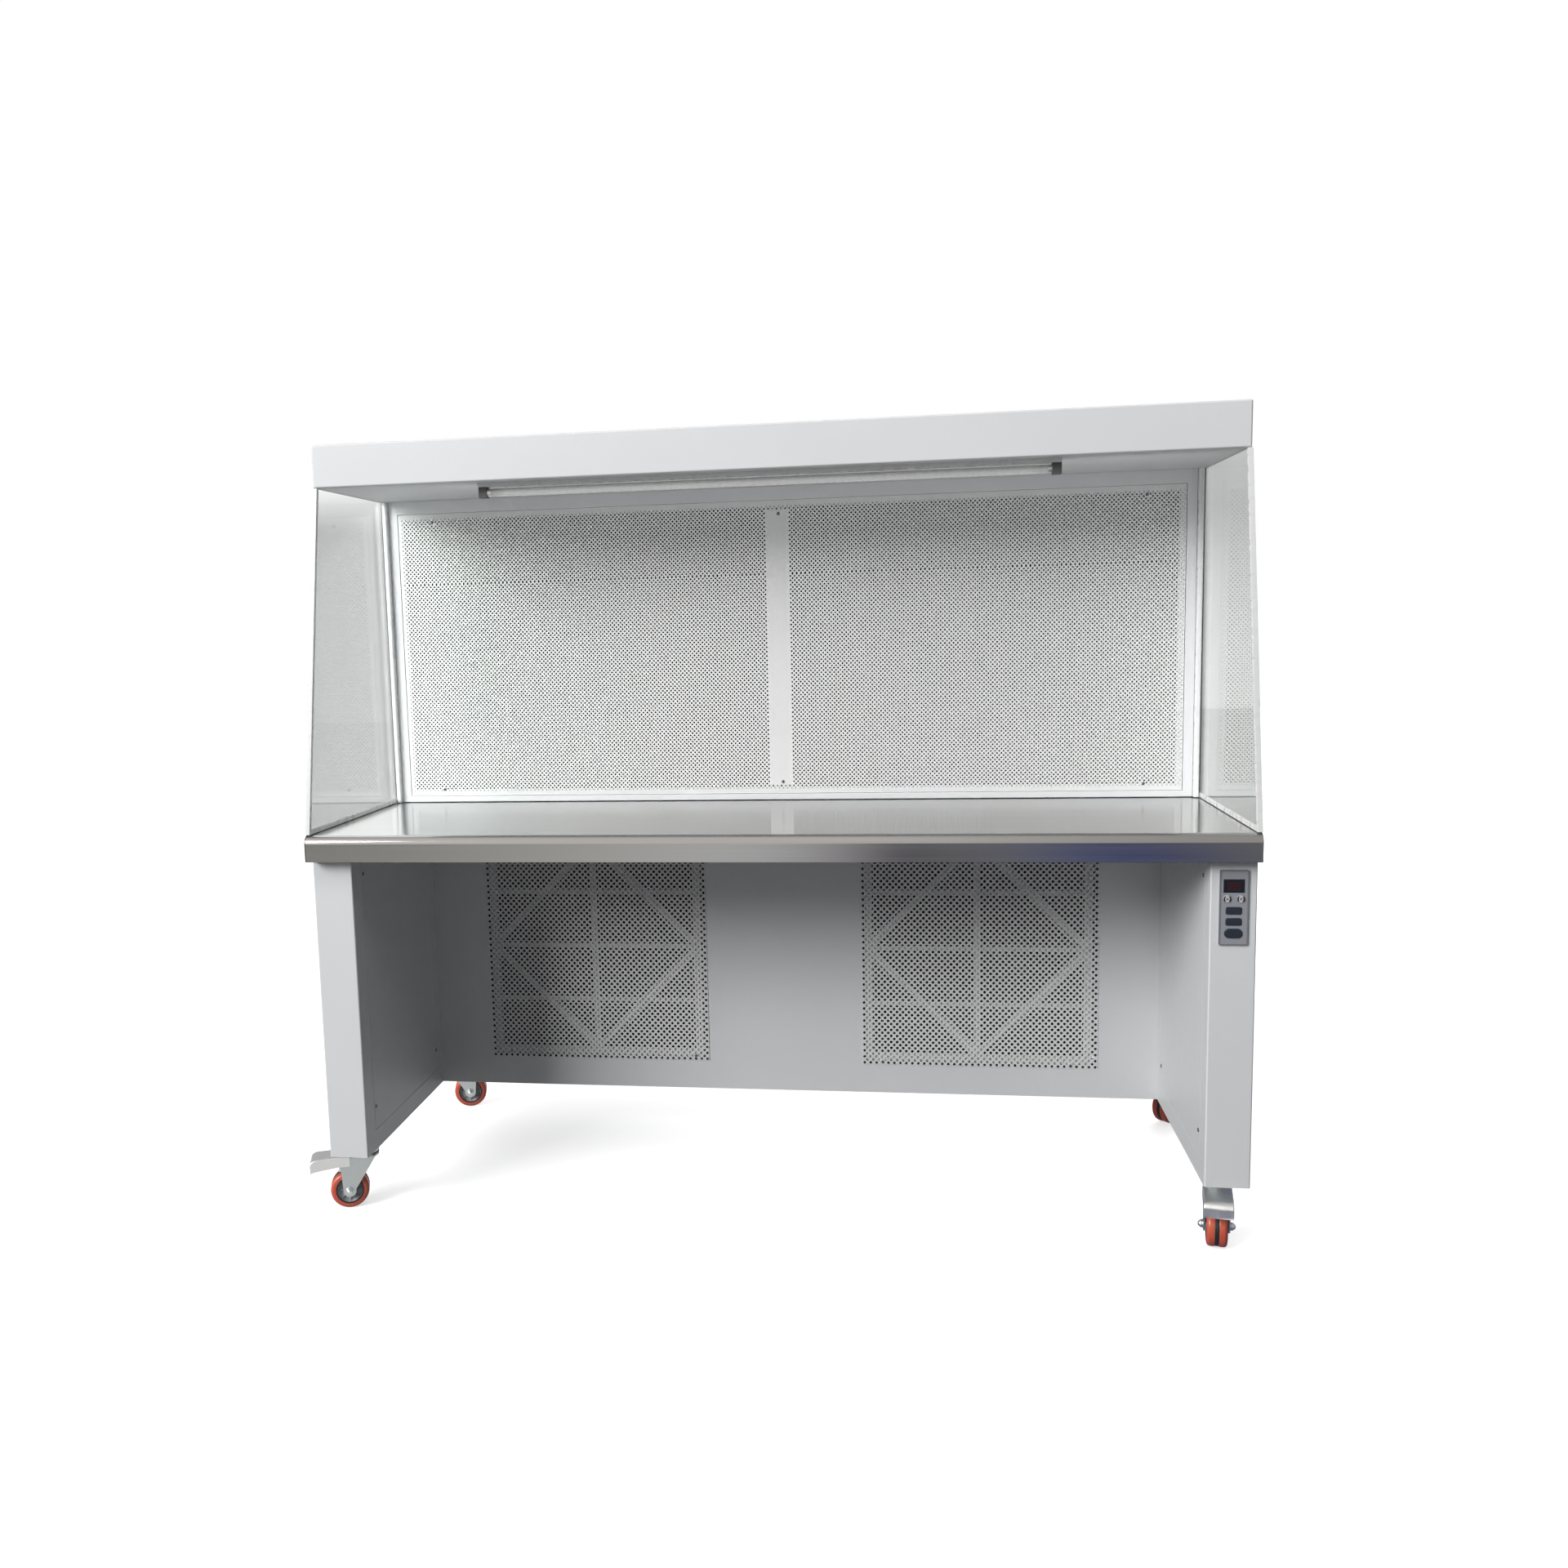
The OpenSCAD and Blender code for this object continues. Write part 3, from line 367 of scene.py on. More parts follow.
LOOKS = {
    "powder_coat": powder_coat("powder_coat_grey_white", (0.735, 0.745, 0.755)),
    "white_perforated": powder_coat("powder_coat_white", (0.76, 0.765, 0.76), 0.46),
    "white_trim": powder_coat("trim_gloss_white", (0.77, 0.775, 0.775), 0.28),
    "stainless": brushed_steel(),
    "frame_steel": powder_coat("primer_grey", (0.30, 0.305, 0.31), 0.6),
    "galvanised": galvanised(),
    "aluminium": rolled_aluminium(),
    "zinc": plated_zinc("zinc_plated", (0.80, 0.82, 0.82)),
    "screw_steel": dark_steel(),
    "motor": enamel(),
    "filter_card": card(),
    "filter_media": fleece("prefilter_fleece", (0.15, 0.155, 0.155), (0.33, 0.335, 0.335)),
    "hepa_paper": fleece("hepa_glass_paper", (0.78, 0.78, 0.77), (0.86, 0.86, 0.85)),
    "gasket": moulded("gasket_foam", (0.022, 0.022, 0.023), 0.85, 0.06),
    "glass": pane(),
    "lamp_glass": phosphor(),
    "black_plastic": moulded("plastic_black", (0.025, 0.026, 0.028), 0.42),
    "grey_plastic": moulded("plastic_panel_grey", (0.31, 0.32, 0.35), 0.5),
    "display": gloss_black(),
    "button_plastic": moulded("plastic_slate", (0.018, 0.026, 0.040), 0.45),
    "orange_tread": polyurethane(),
}
RED_FILTER = lit_window()
DIGIT = moulded("display_digit_off", (0.040, 0.008, 0.007), 0.3, 0.004)
PALE_CAP = moulded("plastic_pale_cap", (0.52, 0.53, 0.55), 0.45)
ARROW_BLACK = moulded("print_black", (0.012, 0.013, 0.017), 0.5, 0.004)
# The control plate's rim is a real raised rim, given a darker grey than the plate to paint the
# shade along the plate's edges.
RIM_GREY_PAINTED_SHADE = moulded("plastic_rim_grey_painted_shade", (0.20, 0.205, 0.225), 0.5)
SOCKET_GREY = moulded("plastic_socket_grey", (0.11, 0.11, 0.105), 0.5)
WHEEL_GREY = moulded("plastic_wheel_grey", (0.42, 0.44, 0.45), 0.38)
SILICONE = moulded("silicone_pale", (0.60, 0.61, 0.60), 0.5, 0.004)
# Shaded and lit copies of the one zinc plating: the fork's darker, bluer grey is painted shade.
FORK_ZINC_PAINTED_SHADE = plated_zinc("zinc_fork_painted_shade", (0.64, 0.68, 0.69))
# The pedal's near-white copy of the same zinc plating is painted light.
PEDAL_ZINC_PAINTED_LIGHT = plated_zinc("zinc_pedal_painted_light", (0.95, 0.96, 0.96))


# ---------- mesh tools ----------

def from_lists(name, verts, faces):
    mesh = bpy.data.meshes.new(name)
    mesh.from_pydata([tuple(v) for v in verts], [], faces)
    mesh.update()
    return mesh


def outward(mesh):
    """Turns every face of a closed mesh outwards."""
    bm = bmesh.new()
    bm.from_mesh(mesh)
    bmesh.ops.recalc_face_normals(bm, faces=bm.faces)
    bm.to_mesh(mesh)
    bm.free()
    return mesh


def smoothed(mesh, sharp=SHARP):
    mesh.shade_smooth()
    mesh.set_sharp_from_angle(angle=math.radians(sharp))
    return mesh


def join(*solids):
    """One (verts, faces) out of several (verts, faces) or (verts, faces, matrix)."""
    verts, faces = [], []
    for solid in solids:
        matrix = solid[2] if len(solid) > 2 else Matrix()
        start = len(verts)
        verts += [matrix @ Vector(v) for v in solid[0]]
        faces += [[start + i for i in face] for face in solid[1]]
    return verts, faces


def lathe(profile, segments=48):
    """A closed profile of (radius, height) points turned about Z. Radius 0 makes a pole."""
    verts, rings = [], []
    for radius, height in profile:
        if radius < 1e-7:
            rings.append([len(verts)] * segments)
            verts.append((0, 0, height))
            continue
        rings.append(list(range(len(verts), len(verts) + segments)))
        for i in range(segments):
            angle = 2 * math.pi * i / segments
            verts.append((radius * math.cos(angle), radius * math.sin(angle), height))
    faces = []
    for a, b in zip(rings, rings[1:] + rings[:1]):
        if a[0] == a[1] and b[0] == b[1]:
            continue
        for i in range(segments):
            j = (i + 1) % segments
            face = [a[i], a[j], b[j], b[i]]
            faces.append(list(dict.fromkeys(face)))
    return verts, faces


def prism(outline, depth):
    """An outline of (x, y) points pushed up by depth along Z."""
    count = len(outline)
    verts = [(x, y, 0) for x, y in outline] + [(x, y, depth) for x, y in outline]
    sides = [[i, (i + 1) % count, count + (i + 1) % count, count + i] for i in range(count)]
    return verts, [list(range(count))[::-1], list(range(count, 2 * count))] + sides


def block(low, high):
    (x0, y0, z0), (x1, y1, z1) = low, high
    verts, faces = prism([(x0, y0), (x1, y0), (x1, y1), (x0, y1)], z1 - z0)
    return [(x, y, z + z0) for x, y, z in verts], faces


def arc(centre, radius, start, stop, steps):
    """Points on an arc, angles in degrees."""
    angles = [math.radians(start + (stop - start) * i / steps) for i in range(steps + 1)]
    return [(centre[0] + radius * math.cos(a), centre[1] + radius * math.sin(a)) for a in angles]


def rounded_outline(width, height, radius, steps=6):
    """A rectangle about the origin with round corners."""
    points = []
    for sx, sy, start in ((1, 1, 0), (-1, 1, 90), (-1, -1, 180), (1, -1, 270)):
        corner = (sx * (width / 2 - radius), sy * (height / 2 - radius))
        points += arc(corner, radius, start, start + 90, steps)
    return points


def hollow_frame(outer, inner, foot, rise):
    """A frame between two outlines of as many points, from foot up to rise."""
    count = len(outer)
    rings = ((outer, foot), (outer, rise), (inner, rise), (inner, foot))
    verts = [(x, y, z) for outline, z in rings for x, y in outline]
    faces = []
    for ring in range(4):
        a, b = ring * count, (ring + 1) % 4 * count
        for i in range(count):
            j = (i + 1) % count
            faces.append([a + i, a + j, b + j, b + i])
    return verts, faces


def welded(bm):
    """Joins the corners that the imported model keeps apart, and drops needless edges."""
    bmesh.ops.remove_doubles(bm, verts=bm.verts, dist=WELD)
    bmesh.ops.dissolve_limit(bm, angle_limit=math.radians(0.6), verts=bm.verts, edges=bm.edges)


def bevel_edges(bm, radius, segments, picks=None, clamp=True, least=SHARP):
    """Rounds the edges that picks chooses among those bent by at least that many degrees."""
    edges = [e for e in bm.edges if len(e.link_faces) == 2
             and e.calc_face_angle(0.0) > math.radians(least) and (not picks or picks(e))]
    if edges:
        bmesh.ops.bevel(bm, geom=edges, offset=radius, segments=segments, profile=0.5,
                        affect="EDGES", clamp_overlap=clamp)


def evened(obj):
    """Applies area-weighted normals, so that flat faces stay flat beside their rounds."""
    modifier = obj.modifiers.new("normals", "WEIGHTED_NORMAL")
    modifier.keep_sharp = True
    bpy.context.view_layer.update()
    graph = bpy.context.evaluated_depsgraph_get()
    mesh = bpy.data.meshes.new_from_object(obj.evaluated_get(graph))
    obj.modifiers.clear()
    obj.data = mesh


def piece(name, mesh, look, body="root", stands_for=()):
    """Puts a finished mesh in the scene on its body."""
    mesh.materials.clear()
    mesh.materials.append(look)
    obj = bpy.data.objects.new(name, mesh)
    bpy.context.scene.collection.objects.link(obj)
    evened(obj)
    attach(obj, body)
    if stands_for:
        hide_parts(*stands_for)


def solid_piece(name, solid, slot, body="root", look=None, round_mm=0.0, stands_for=()):
    """A piece out of (verts, faces), with its sharp edges rounded by round_mm."""
    mesh = outward(from_lists(name, *solid))
    if round_mm:
        bm = bmesh.new()
        bm.from_mesh(mesh)
        bevel_edges(bm, round_mm * MM, 2)
        bm.to_mesh(mesh)
        bm.free()
    piece(name, smoothed(mesh), look or LOOKS[slot], body, stands_for)


def softened(node, round_mm=0.5, bends=(), segments=2, clamp=True, look=None):
    """Stands for a CAD node, with real rounds. bends holds (radius in mm, least angle, picks);
    every other sharp edge gets round_mm."""
    mesh = NODES[node].data.copy()
    bm = bmesh.new()
    bm.from_mesh(mesh)
    welded(bm)
    for bend_mm, least, picks in bends:
        bevel_edges(bm, bend_mm * MM, 5, picks, False, least)
    bevel_edges(bm, round_mm * MM, segments, clamp=clamp)
    bmesh.ops.recalc_face_normals(bm, faces=bm.faces)
    bm.to_mesh(mesh)
    bm.free()
    slot = SLOTS[node]
    piece(node + "_rounded", smoothed(mesh), look or LOOKS[slot], BODY[node], (node,))


def islands(node):
    """The (low, high) boxes of a node's separate solids, from left to right."""
    bm = bmesh.new()
    bm.from_mesh(NODES[node].data)
    bmesh.ops.remove_doubles(bm, verts=bm.verts, dist=WELD)
    seen, boxes = set(), []
    for start in bm.verts:
        if start in seen:
            continue
        seen.add(start)
        group, todo = [], [start]
        while todo:
            vert = todo.pop()
            group.append(vert.co.copy())
            for edge in vert.link_edges:
                other = edge.other_vert(vert)
                if other not in seen:
                    seen.add(other)
                    todo.append(other)
        low = Vector([min(co[i] for co in group) for i in range(3)])
        high = Vector([max(co[i] for co in group) for i in range(3)])
        boxes.append((low, high))
    bm.free()
    return sorted(boxes, key=lambda box: (round(box[0].x, 4), box[0].z))


def is_upright(edge):
    return abs((edge.verts[0].co - edge.verts[1].co).normalized().z) > 0.99


def edge_middle(edge):
    return (edge.verts[0].co + edge.verts[1].co) / 2


# ---------- perforated sheets ----------

class Sheet:
    """A punched sheet in the XZ plane, drawn as flat faces and then given its thickness."""

    def __init__(self, front, thickness):
        self.front, self.thickness = front, thickness
        self.points, self.index, self.faces = [], {}, []

    def flat(self, outline):
        """A face whose outline runs counter-clockwise as seen from the front."""
        ids = []
        for x, z in outline:
            key = (round(x * 1e7), round(z * 1e7))
            if key not in self.index:
                self.index[key] = len(self.points)
                self.points.append((x, z))
            ids.append(self.index[key])
        self.faces.append([v for i, v in enumerate(ids) if v != ids[i - 1]])

    def cell(self, xs, z0, z1, radius):
        """An eight-sided hole with half a pitch of sheet on its left and right, or a plain
        cell if radius is 0."""
        x0, x1, x2 = xs
        if not radius:
            self.flat([(x0, z0), (x1, z0), (x2, z0), (x2, z1), (x1, z1), (x0, z1)])
            return
        tall = (z1 - z0) / 2 - 0.1 * MM
        rise = tall if tall > 1.25 * radius else radius
        turns = [2 * math.pi * i / 8 for i in range(8)]
        e, ne, n, nw, w, sw, s, se = [
            (x1 + radius * math.cos(t), (z0 + z1) / 2 + rise * math.sin(t)) for t in turns]
        self.flat([(x2, z0), (x2, z1), ne, e, se])
        self.flat([(x2, z1), (x1, z1), n, ne])
        self.flat([(x1, z1), (x0, z1), nw, n])
        self.flat([(x0, z1), (x0, z0), sw, w, nw])
        self.flat([(x0, z0), (x1, z0), s, sw])
        self.flat([(x1, z0), (x2, z0), se, s])

    def rows(self, columns, lines, hole, first, last):
        """Staggered rows. columns are lines half a pitch apart. An open end is stepped, so
        that the next slab's rows fit into it; the end of the sheet (first, last) is plain."""
        end = len(columns) - 1 if last else len(columns) - 2
        for j, (z0, z1) in enumerate(zip(lines, lines[1:])):
            shifted = j % 2
            if shifted and first:
                self.flat([(columns[0], z0), (columns[1], z0), (columns[1], z1),
                           (columns[0], z1)])
            stop = end + shifted if not last else end
            for k in range(shifted, stop - 1, 2):
                xs = columns[k:k + 3]
                self.cell(xs, z0, z1, hole(xs[1], (z0 + z1) / 2))
            if shifted and last:
                self.flat([(columns[end - 1], z0), (columns[end], z0), (columns[end], z1),
                           (columns[end - 1], z1)])

    def solid(self, name, node, slot):
        """The finished piece: front, back and a wall along every open edge."""
        count = len(self.points)
        verts = [(x, self.front, z) for x, z in self.points]
        verts += [(x, self.front + self.thickness, z) for x, z in self.points]
        faces = self.faces + [[count + v for v in reversed(face)] for face in self.faces]
        sides = {(a, b) for face in self.faces for a, b in zip(face, face[1:] + face[:1])}
        faces += [[b, a, count + a, count + b] for a, b in sorted(sides) if (b, a) not in sides]
        mesh = smoothed(from_lists(name, verts, faces), 50)
        piece(name, mesh, LOOKS[slot], "root", (node,))


def near_screw(x, z, screws, reach):
    return any((x - sx) ** 2 + (z - sz) ** 2 < reach ** 2 for sx, sz in screws)


def screw_points(node):
    return [((a.x + b.x) / 2, (a.z + b.z) / 2) for a, b in islands(node)]


def build_diffuser():
    """The diffuser in six slabs: 9 mm pitch, rows 4.7 mm apart, a plain middle strip, and one
    row punched twice where the press was reset."""
    pitch, row, radius = 9.0 * MM, 4.7 * MM, 2.0 * MM
    double_row, rows_below, rows_above = 6.4 * MM, 98, 30
    middle, strip_half, slabs, columns_each = MIDDLE_X + 3.0 * MM, 25.0 * MM, 6, 31
    low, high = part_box("diffuser_plate")
    screws = screw_points("diffuser_screws")
    lines = [low.z + 9.0 * MM + row * j for j in range(rows_below + 1)]
    lines.append(lines[-1] + double_row)
    lines += [lines[-1] + row * (j + 1) for j in range(rows_above)]
    left = middle - slabs * columns_each * pitch / 2

    def hole(x, z):
        in_end_rows = z < lines[2] or z > lines[-3]
        in_strip = abs(x - middle) < strip_half and not in_end_rows
        return 0.0 if in_strip or near_screw(x, z, screws, 6.0 * MM) else radius

    top_shift = (len(lines) - 2) % 2
    for slab in range(slabs):
        first, last = slab == 0, slab == slabs - 1
        start = 2 * columns_each * slab
        count = 2 * columns_each + (1 if last else 2)
        columns = [left + pitch / 2 * (start + k) for k in range(count)]
        sheet = Sheet(low.y, high.y - low.y)
        sheet.rows(columns, lines, hole, first, last)
        base = columns if last else columns[:-1]
        head = columns[0 if first else top_shift:count if last else count - 1 + top_shift]
        sheet.flat([(base[0], low.z), (base[-1], low.z)] + [(x, lines[0]) for x in base[::-1]])
        sheet.flat([(x, lines[-1]) for x in head] + [(head[-1], high.z), (head[0], high.z)])
        if first:
            sheet.flat([(low.x, low.z), (left, low.z)] + [(left, z) for z in lines]
                       + [(left, high.z), (low.x, high.z)])
        if last:
            edge = columns[-1]
            sheet.flat([(high.x, low.z), (high.x, high.z), (edge, high.z)]
                       + [(edge, z) for z in lines[::-1]] + [(edge, low.z)])
        sheet.solid(f"diffuser_plate_slab_{slab + 1}", "diffuser_plate", "white_perforated")


def build_grilles():
    """Both intake grilles: 13 mm pitch, rows 6.8 mm apart, punched right up to the edge, with
    a dark foam seal behind the sides and the foot, whose black also paints the shade in the
    gap behind the grille's edges."""
    pitch, row, radius, row_count, column_count = 13.0 * MM, 6.8 * MM, 3.2 * MM, 77, 39
    shade_seal_w, shade_seal_t = 6.2 * MM, 0.35 * MM
    screws = screw_points("grille_screws")
    for side, (low, high) in zip(("left", "right"), islands("intake_grilles")):
        centre = (low + high) / 2
        lines = [centre.z + row * (j - row_count / 2) for j in range(row_count + 1)]
        columns = [centre.x + pitch / 2 * (k - column_count) for k in range(2 * column_count + 1)]
        columns[0], columns[-1] = low.x, high.x

        def hole(x, z):
            return 0.0 if near_screw(x, z, screws, 4.6 * MM) else radius

        back = high.y - shade_seal_t
        sheet = Sheet(low.y, back - low.y)
        sheet.rows(columns, lines, hole, True, True)
        sheet.flat([(low.x, low.z), (high.x, low.z)] + [(x, lines[0]) for x in columns[::-1]])
        sheet.flat([(x, lines[-1]) for x in columns] + [(high.x, high.z), (low.x, high.z)])
        sheet.solid(f"{side}_intake_grille", "intake_grilles", "white_perforated")
        # Black foam strips behind the sides and foot; their black also paints the shade in the
        # gap behind the grille's edges.
        seal = join(block((low.x, back, low.z), (low.x + shade_seal_w, high.y, high.z)),
                    block((high.x - shade_seal_w, back, low.z), high),
                    block((low.x + shade_seal_w, back, low.z),
                          (high.x - shade_seal_w, high.y, low.z + shade_seal_w)))
        solid_piece(f"{side}_grille_seal_painted_shade", seal, "gasket")


# ---------- screws ----------

def cut(solid, cutter):
    """solid less cutter, both (verts, faces)."""
    objects = []
    for part in (solid, cutter):
        obj = bpy.data.objects.new("scratch", outward(from_lists("scratch", *part)))
        bpy.context.scene.collection.objects.link(obj)
        objects.append(obj)
    body, tool = objects
    boolean = body.modifiers.new("cut", "BOOLEAN")
    boolean.object, boolean.operation, boolean.solver = tool, "DIFFERENCE", "EXACT"
    bpy.context.view_layer.update()
    graph = bpy.context.evaluated_depsgraph_get()
    mesh = bpy.data.meshes.new_from_object(body.evaluated_get(graph))
    made = ([v.co.copy() for v in mesh.vertices], [list(p.vertices) for p in mesh.polygons])
    for obj in objects:
        bpy.data.objects.remove(obj)
    return made


def pan_head(radius, height):
    """A pan-head screw's head with a cross recess, standing up along Z from 0."""
    dome = [(0, height)] + [(radius * f, height * h) for f, h in
                            ((0.35, 0.985), (0.6, 0.93), (0.8, 0.80), (0.93, 0.58), (1.0, 0.28))]
    profile = dome + [(radius, 0), (0, 0)]
    arm, half = radius * 0.58, radius * 0.13
    cross = [(arm, -half), (arm, half), (half, half), (half, arm), (-half, arm), (-half, half),
             (-arm, half), (-arm, -half), (-half, -half), (-half, -arm), (half, -arm),
             (half, -half)]
    verts, faces = prism(cross, height)
    taper = [((x * 0.55, y * 0.55, height * 0.4) if z == 0 else (x, y, z + height * 0.2))
             for x, y, z in verts]
    return cut(lathe(profile, 28), (taper, faces))


def build_screws():
    """Every CAD screw gets a pan head with a cross recess, each turned a little differently."""
    faces_to = {
        "diffuser_screws": lambda box: Matrix.Rotation(math.pi / 2, 4, "X"),
        "grille_screws": lambda box: Matrix.Rotation(math.pi / 2, 4, "X"),
        "rear_cover_screws": lambda box: Matrix.Rotation(-math.pi / 2, 4, "X"),
        "access_panel_screws": lambda box: Matrix.Rotation(
            math.pi / 2 if box[0].x < 0 else -math.pi / 2, 4, "Y"),
    }
    for node, turn_of in faces_to.items():
        boxes = islands(node)
        low, high = boxes[0]
        radius = (high.z - low.z) / 2
        head = pan_head(radius, radius * 0.5)
        parts = []
        for count, box in enumerate(boxes):
            turn = turn_of(box)
            out = turn @ Vector((0, 0, 1))
            centre = (box[0] + box[1]) / 2
            reach = max(abs((corner - centre) @ out) for corner in box)
            foot = centre + out * (reach - radius * 0.5)
            spin = Matrix.Rotation(0.7 * count, 4, "Z")
            parts.append((*head, Matrix.Translation(foot) @ turn @ spin))
        solid_piece(node + "_pan_heads", join(*parts), "screw_steel", stands_for=(node,))


# ---------- hood, legs and worktop ----------

def build_body():
    """The painted sheet-metal work, each bend with its own radius."""
    fascia_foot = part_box("ceiling_panel")[0].z

    def hood_bends(edge):
        at = edge_middle(edge)
        on_front = abs(at.y - HOOD_LOW.y) < NEAR
        on_side = min(abs(at.x - HOOD_LOW.x), abs(at.x - HOOD_HIGH.x)) < NEAR
        on_top = abs(at.z - HOOD_HIGH.z) < NEAR
        on_foot = abs(at.z - fascia_foot) < NEAR
        return (on_front and (on_foot or on_side or on_top)) or (on_side and on_top)

    softened("hood_shell", 0.5, ((3.6, 34, hood_bends),), clamp=False)
    softened("ceiling_panel", 0.6)
    for node in ("left_leg", "right_leg"):
        low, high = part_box(node)

        def leg_bends(edge, low=low, high=high):
            at = edge_middle(edge)
            outside = min(abs(at.x - low.x), abs(at.x - high.x)) < NEAR
            at_end = min(abs(at.y - low.y), abs(at.y - high.y)) < NEAR
            return is_upright(edge) and outside and at_end

        softened(node, 0.5, ((3.0, 34, leg_bends),), clamp=False)
    for node, round_mm in (("access_panels", 0.6), ("intake_panel", 0.6), ("rear_covers", 0.6),
                           ("diffuser_frame", 0.6), ("cabinet_floor", 0.6),
                           ("glass_trims", 0.5), ("glass_posts", 0.6), ("side_glass", 0.8)):
        softened(node, round_mm)
    softened("prefilter_frames", 0.25, segments=1)
    softened("power_gland", 0.5)
    softened("worktop_frame", 0.5)


def worktop_section(low, high, inset):
    """The worktop's outline as (y, z), open below and drawn in by inset: up the front edge,
    round its upper bend, over the surface and down the back."""
    bend, back = 18 * MM, 3 * MM
    front = arc((low.y + bend, high.z - bend), bend - inset, 180, 90, 24)
    rear = arc((high.y - back, high.z - back), back - inset, 90, 0, 6)
    return [(low.y + inset, low.z)] + front + rear + [(high.y - inset, low.z)]


def build_worktop():
    """Folded from one sheet brushed along X, with a polished weld round each end."""
    low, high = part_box("worktop")
    sheet, weld, lip = 1.5 * MM, 1.4 * MM, 22 * MM
    turns = [math.radians(30 * i) for i in range(4)]
    stations = [(low.x + weld * (1 - math.sin(t)), weld * (1 - math.cos(t))) for t in turns]
    stations += [(low.x + high.x - x, inset) for x, inset in reversed(stations)]
    outside = [[(x, y, z) for y, z in worktop_section(low, high, inset)]
               for x, inset in stations]
    inside = [[(x, y, z) for y, z in worktop_section(low, high, sheet)]
              for x in (low.x + sheet, high.x - sheet)]
    rings = outside + inside[::-1]
    count = len(rings[0])
    verts = [v for ring in rings for v in ring]
    start = [count * i for i in range(len(rings))]
    last_out = len(outside) - 1
    faces = []
    for i in [k for k in range(len(rings) - 1) if k != last_out]:
        for j in range(count - 1):
            a, b = start[i] + j, start[i + 1] + j
            faces.append([a, b, b + 1, a + 1])
    for i in (0, last_out, last_out + 1, last_out + 2):
        faces.append([start[i] + j for j in range(count)])
    for j in (0, count - 1):
        faces.append([v + j for v in start])
    ends = ((0, last_out + 2), (last_out, last_out + 1))
    for out, within in ends:
        faces.append([start[out], start[out] + count - 1, start[within] + count - 1,
                      start[within]])
    mesh = from_lists("worktop_folded", *join((verts, faces), block(
        (low.x + 1 * MM, low.y + 1 * MM, low.z + 0.05 * MM),
        (high.x - 1 * MM, low.y + lip, low.z + sheet))))
    smoothed(outward(mesh))
    layer = mesh.uv_layers.new(name="brush")
    for loop in mesh.loops:
        co = mesh.vertices[loop.vertex_index].co
        layer.data[loop.index].uv = (co.x, co.y - co.z)
    piece("worktop_folded", mesh, LOOKS["stainless"], "root", ("worktop",))


# ---------- lamp ----------

def build_lamp():
    softened("lamp_body", 1.0, segments=3)
    softened("lamp_sockets", 1.6, segments=3, look=SOCKET_GREY)
    low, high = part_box("lamp_tube")
    centre, radius = (low + high) / 2, (high.z - low.z) / 2
    half, cap = (high.x - low.x) / 2, 14 * MM
    along = Matrix.Translation(centre) @ Matrix.Rotation(math.pi / 2, 4, "Y")
    neck = radius - 0.9 * MM
    glass = [(0, -half + cap - 3 * MM), (neck, -half + cap - 3 * MM), (neck, -half + cap),
             (radius, -half + cap + 3 * MM), (radius, half - cap - 3 * MM), (neck, half - cap),
             (neck, half - cap + 3 * MM), (0, half - cap + 3 * MM)]
    solid_piece("lamp_tube_glass", join((*lathe(glass, 40), along)), "lamp_glass",
                stands_for=("lamp_tube",))
    caps = []
    for side in (-1, 1):
        end, mouth = side * half, side * (half - cap)
        profile = [(0, end), (radius - 1.2 * MM, end), (radius - 0.3 * MM, end - side * 0.6 * MM),
                   (radius, end - side * 1.6 * MM), (radius, mouth + side * 0.8 * MM),
                   (radius - 0.4 * MM, mouth), (0, mouth)]
        caps.append((*lathe(profile, 40), along))
    solid_piece("lamp_tube_end_caps", join(*caps), "aluminium", stands_for=("lamp_tube",))


# ---------- control panel ----------

def facing_front(centre, y):
    """Takes (x, up, out) of a control to the bench's frame, out being towards the user."""
    return Matrix(((1, 0, 0, centre.x), (0, 0, -1, y), (0, 1, 0, centre.z), (0, 0, 0, 1)))


def domed_cap(outline, shrink, height, crown, foot):
    """A button cap: upright sides, a round shoulder and a slightly crowned top."""
    steps = [(1.0, -foot), (1.0, height - crown), (1.0 - shrink * 0.3, height - crown * 0.35),
             (1.0 - shrink, height)]
    verts, rings = [], []
    for scale, up in steps:
        rings.append(list(range(len(verts), len(verts) + len(outline))))
        verts += [(x * scale, y * scale, up) for x, y in outline]
    faces = [rings[0][::-1], rings[-1]]
    for a, b in zip(rings, rings[1:]):
        for i in range(len(outline)):
            j = (i + 1) % len(outline)
            faces.append([a[i], a[j], b[j], b[i]])
    return verts, faces


def arc_band(radius, width, start, stop, depth):
    steps = 14
    outer = arc((0, 0), radius, start, stop, steps)
    inner = arc((0, 0), radius - width, stop, start, steps)
    return prism(outer + inner, depth)


def build_control():
    plate_low, plate_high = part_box("control_plate")
    softened("control_plate", 0.7, segments=3)
    rim_w, rim_h = 2.6 * MM, 0.7 * MM
    wide, tall = plate_high.x - plate_low.x, plate_high.z - plate_low.z
    middle = (plate_low + plate_high) / 2
    outer = rounded_outline(wide, tall, 3 * MM)
    inner = rounded_outline(wide - 2 * rim_w, tall - 2 * rim_w, 2 * MM)
    # The rim's darker grey paints the shade along the plate's edges.
    rim = hollow_frame(outer, inner, 0, rim_h)
    solid_piece("control_plate_rim", join((*rim, facing_front(middle, plate_low.y))),
                "grey_plastic", look=RIM_GREY_PAINTED_SHADE, round_mm=0.3)
    build_display()
    build_buttons()


